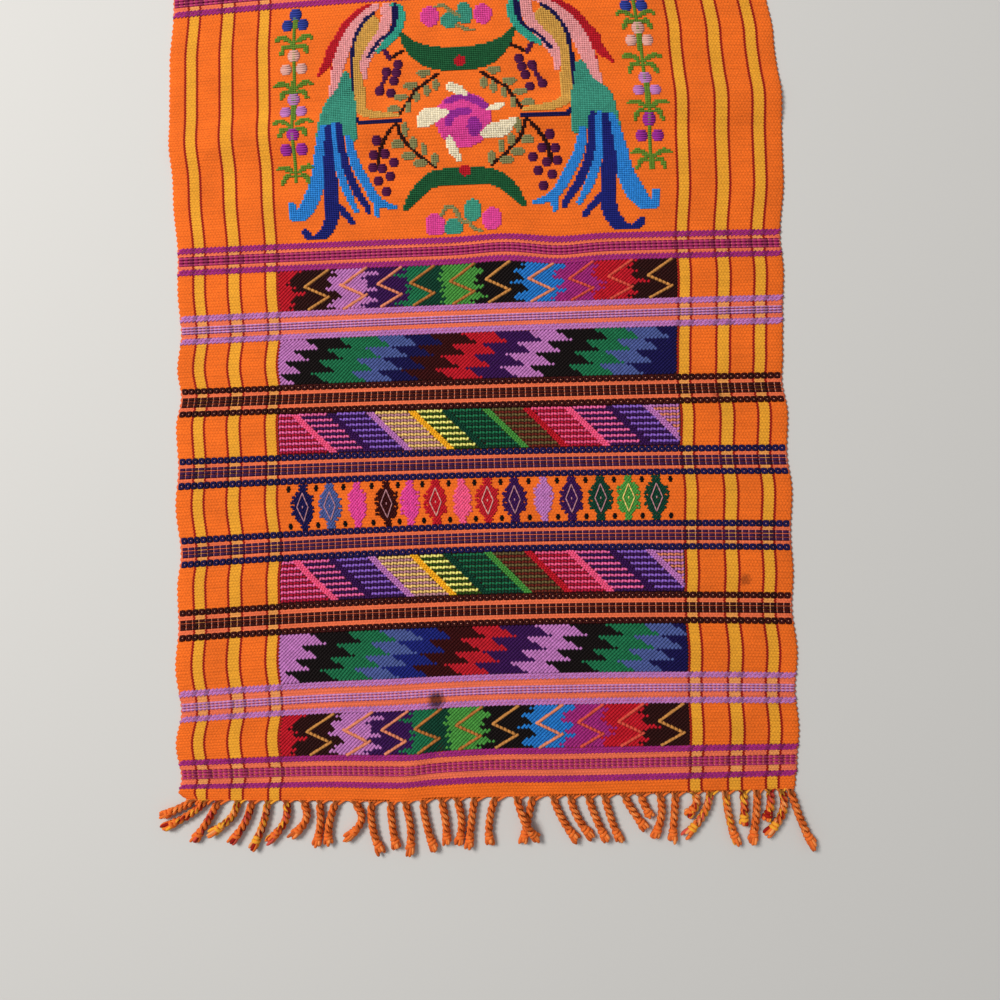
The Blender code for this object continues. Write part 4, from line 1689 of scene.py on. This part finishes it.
# %% Plies
FLUTE_DEPTH = 0.16
KNOT_SHARE = 0.78
ROOT_SPREAD = 2.2
ROOT_SHARE = 0.12
PLY_RINGS = 38
PLY_SIDES = 2 * STRANDS
# Out on a strand and in between two, and how light each is.
FLUTES = np.where(np.arange(PLY_SIDES) % 2, -1, 1)
FLUTE_SHADE = np.where(FLUTES < 0, 0.7, 1.1)
# Distances from the cord's middle line, and how light a ply is there.
GROOVE_REACH = (1.4, 2.55)
GROOVE_SHADE = (0.34, 1.14)


def cord_lengths():
    """Length of each cord's middle line, in mm."""
    paths = cord_centres(np.broadcast_to(np.linspace(0, 1, 30), (len(CORDS), 30)))
    return np.sum(np.linalg.norm(np.diff(paths, axis=1), axis=-1), axis=1)


def ply_tubes(ply, lengths):
    """One ply of every cord: it starts beside the root, joins its partner and winds round it. Its
    section has a flute between each two strands, and turns against the cord's twist."""
    share = np.broadcast_to(np.linspace(0.0, KNOT_SHARE + 0.04, PLY_RINGS), (len(CORDS), PLY_RINGS))
    centres = cord_centres(share)
    phase = -share * lengths[:, None] / TURN_LENGTH * 2 * math.pi + ply * math.pi
    opening = np.clip(1 - share / ROOT_SHARE, 0, 1) ** 1.5
    paths = helix(centres, phase, np.full(share.shape, PLY_OFFSET) * (1 - opening))
    side = -1 if ply == 0 else 1
    paths[..., 0] += side * ROOT_SPREAD * opening
    paths[..., 2] += (0.8 - paths[..., 2]) * opening
    radii = PLY_RADIUS * (1 - 0.42 * opening) * (1 + 0.04 * np.sin(share * 47 + ply))
    flutes = 1 + FLUTE_DEPTH * FLUTES
    points, walls, caps = tubes(paths, radii[..., None] * flutes, PLY_SIDES, -0.6 * phase)
    # Less light reaches the groove between the plies, and the flutes between the strands.
    rings = points.reshape(*share.shape, PLY_SIDES, 3)
    from_middle = np.linalg.norm(rings - centres[:, :, None], axis=-1)
    shade = np.interp(from_middle, GROOVE_REACH, GROOVE_SHADE) * FLUTE_SHADE
    return (points, walls, caps), shade.ravel()


print("cords are", np.round(np.sort(cord_lengths())[[0, -1]]), "mm long from the shortest to the longest")

# %% [markdown]
# A real knot is the cord looped through itself. Seen from above it is a ball with slanting ridges, so
# a fat strand wound nearly twice round the cord is enough. The tuft's loose strands start inside it,
# and a few warp threads lean into each cord's root.

# %% Knots, tufts and loose warp threads
KNOT_RINGS = 22
KNOT_LENGTH = 4.6
KNOT_TURNS = 1.8
KNOT_OFFSET = 1.9
KNOT_RADIUS = 1.4
TUFT_STRANDS = 8
TUFT_RADIUS = 1.25
# Rings stand closer together at a strand's tip, where it rounds off.
TUFT_RINGS = np.array((0.0, 0.25, 0.5, 0.75, 0.9, 0.97, 1.0))
WARP_RINGS = 9


def knot_tubes(lengths):
    """A strand wound nearly twice round the cord, fatter than the plies."""
    turn = np.broadcast_to(np.linspace(0, 1, KNOT_RINGS), (len(CORDS), KNOT_RINGS))
    spread = KNOT_LENGTH / lengths[:, None]
    centres = cord_centres(KNOT_SHARE - spread / 2 + turn * spread)
    winding = helix(centres, turn * KNOT_TURNS * 2 * math.pi, np.full(turn.shape, KNOT_OFFSET))
    radii = KNOT_RADIUS * np.clip(np.minimum(turn, 1 - turn) * 8, 0.35, 1)
    winding[..., 2] = np.maximum(winding[..., 2], radii)
    return tubes(winding, radii[..., None], 6)


def tuft_tubes():
    """Loose strands that swell out past the knot and end blunt: a strand's tip is a half circle."""
    spin = np.random.default_rng(SEED + 1)
    count = len(CORDS) * TUFT_STRANDS
    strand = np.arange(TUFT_STRANDS) * 2 * math.pi / TUFT_STRANDS
    strand = np.tile(strand, len(CORDS)) + spin.uniform(-0.3, 0.3, count)
    reach = spin.uniform(0.9, 1.0, count)
    t = TUFT_RINGS[None, :]
    begin = KNOT_SHARE + 0.02
    cords = np.repeat(np.arange(len(CORDS)), TUFT_STRANDS)
    share = begin + (reach[:, None] - begin) * t
    whole = cord_centres(share, cords)
    opened = 1.3 + 1.2 * np.sin(t * math.pi * 0.7)
    phase = np.broadcast_to(strand[:, None], share.shape)
    paths = helix(whole, phase, np.broadcast_to(opened, share.shape) * spin.uniform(0.75, 1.1, (count, 1)))
    blunt = np.sqrt(np.clip(1 - (np.clip(t - 0.75, 0, 1) / 0.26) ** 2, 0.04, 1))
    radii = TUFT_RADIUS * blunt * np.ones((count, 1))
    paths[..., 2] = np.maximum(paths[..., 2], radii)
    return tubes(paths, radii[..., None], 5), cords


def warp_tubes():
    """A few warp threads that lean from the cloth's end into the root of the cord to their left."""
    root = CORDS[:-1, 0]
    gap = np.diff(CORDS[:, 0])
    t = np.linspace(0, 1, WARP_RINGS)[None, :]
    x = root[:, None] + (gap[:, None] * 0.62) * (1 - t) + 1.4 * t
    y = end_line(x) + 0.4 - 3.0 * t**1.6
    z = 0.9 + 0.9 * np.sin(t * math.pi * 0.5) + 0 * x
    paths = np.stack([x, y, z], -1)
    radii = (0.55 + 0.45 * t) * np.ones((len(root), 1))
    return tubes(paths, radii[..., None], 6)


print("a knot is", KNOT_LENGTH, "mm long, a tuft has", TUFT_STRANDS, "strands")

# %% [markdown]
# All tubes of one end become one mesh. Every point carries its strand's dye, and on the plies painted
# shade in the grooves and flutes as well, so one finish serves every cord.


# %% Fringes
def make_fringe(name, node, half_turn):
    """All the tubes of one end, joined, with each tube's dye and the plies' painted shade."""
    lengths = cord_lengths()
    strands = np.array([[dye(n) for n in MIXED_STRANDS.get(k, PLAIN_STRANDS)] for k in range(len(CORDS))])
    shade = []
    # A ply's section has two points a strand, and the second ply starts further on in the list.
    by_side = np.repeat(strands, PLY_SIDES // STRANDS, 1)
    parts = []
    for ply in (0, 1):
        sides = np.roll(by_side, 4 * ply, 1)[:, None, :]
        ply_dyes = np.broadcast_to(sides, (len(CORDS), PLY_RINGS, PLY_SIDES)).ravel()
        tube, ply_shade = ply_tubes(ply, lengths)
        parts.append((tube, ply_dyes))
        shade.append(ply_shade)
    knots = knot_tubes(lengths)
    parts.append((knots, np.repeat(strands[:, 0], len(knots[0]) // len(CORDS))))
    tufts, cords = tuft_tubes()
    which = np.tile(np.arange(TUFT_STRANDS) % STRANDS, len(CORDS))
    tuft_dyes = strands[cords, which]
    parts.append((tufts, np.repeat(tuft_dyes, len(tufts[0]) // len(tuft_dyes))))
    warps = warp_tubes()
    count = len(CORDS) - 1
    parts.append((warps, np.repeat(strands[:count, 0], len(warps[0]) // count)))

    rest = sum(len(part[0]) for part, _ in parts[2:])
    shade = np.concatenate([*shade, np.ones(rest)])
    points = []
    faces = []
    dyes = []
    total = 0
    for (part_points, walls, caps), part_dyes in parts:
        points.append(part_points)
        faces += [walls + total, caps + total]
        dyes.append(part_dyes)
        total += len(part_points)
    points = np.concatenate(points)
    if half_turn:
        points = points * HALF_TURN
    light = DYE_LIGHT[np.concatenate(dyes)]
    # Painted shade of the grooves and flutes, multiplied into the plies' dyes.
    light[:, :3] *= shade[:, None]
    fringe = make_piece(name, points, faces, twisted_cotton, light)
    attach(fringe, "root")
    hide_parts(node)
    return fringe


fringe_front = make_fringe("cords_front", "fringe_front", False)
fringe_back = make_fringe("cords_back", "fringe_back", True)
print("fringes", fringe_front.name, fringe_back.name)

# %% [markdown]
# The cloth is one sheet that lies flat, and the threads and cords ride with it.

# %% [markdown]
# ## Floor, light and camera
# The floor is plain and pale, so that it sends a little light back under the cords and draws no look
# away from the cloth.

# %% Floor
FLOOR_REACH = 6000.0
FLOOR_DROP = -0.3


def make_floor():
    """A wide floor just under the cloth, in painted board: pale and matt."""
    finish, _, shader = new_finish("painted_board")
    shader.inputs["Base Color"].default_value = linear("CFCDC9")
    shader.inputs["Roughness"].default_value = 0.9
    sides = ((-1, -1), (1, -1), (1, 1), (-1, 1))
    corners = np.array([(x * FLOOR_REACH, y * FLOOR_REACH, FLOOR_DROP) for x, y in sides])
    floor = make_piece("floor", corners, [np.array([[0, 1, 2, 3]])], finish, smooth=False)


make_floor()
print("floor", FLOOR_REACH * 2 * MM, "m a side")

# %% [markdown]
# One large soft lamp stands to the upper left, as by a window, and the sky fills the shadows. A small
# lamp would draw every float with a hard edge, which the cotton doesn't have.

# %% Light
LAMP_PLACE = (-1.3, 0.3, 2.0)
LAMP_AIM = (0.0, -0.5, 0.0)
LAMP_SIZE = 0.9
LAMP_POWER = 60.0
SKY_STRENGTH = 0.345
lamp = bpy.data.lights.new("window", "AREA")
lamp.shape = "SQUARE"
lamp.size = LAMP_SIZE
lamp.energy = LAMP_POWER
lamp.color = (1.0, 0.985, 0.96)
lamp_object = bpy.data.objects.new("window", lamp)
lamp_object.location = LAMP_PLACE
lamp_object.rotation_euler = (Vector(LAMP_AIM) - Vector(LAMP_PLACE)).to_track_quat("-Z", "Y").to_euler()
bpy.context.scene.collection.objects.link(lamp_object)

world = bpy.data.worlds.new("room")
bpy.context.scene.world = world
world.use_nodes = True
sky = world.node_tree.nodes["Background"]
sky.inputs["Color"].default_value = linear("F4F6FA")
sky.inputs["Strength"].default_value = SKY_STRENGTH
bpy.context.scene.view_settings.view_transform = "Standard"
print("lamp", LAMP_POWER, "W, sky", SKY_STRENGTH)

# %% [markdown]
# The camera looks straight down from a little above the near end, as the picture was taken.

# %% Camera
CAMERA_PLACE = (0.0346, -0.6173, 0.5248)
CAMERA_TURN = (0.0408, 0.0392, -0.0253)
CAMERA_LENS = 27.04
camera = bpy.data.cameras.new("camera")
camera.lens = CAMERA_LENS
camera.sensor_width = 36.0
camera.clip_start = 0.01
camera_object = bpy.data.objects.new("camera", camera)
camera_object.location = CAMERA_PLACE
camera_object.rotation_euler = CAMERA_TURN
bpy.context.scene.collection.objects.link(camera_object)
bpy.context.scene.camera = camera_object
print("camera", CAMERA_LENS, "mm at", CAMERA_PLACE)

# %% [markdown]
# ## Last step
# The view layer is brought up to date once more.

# %% Finish
bpy.context.view_layer.update()
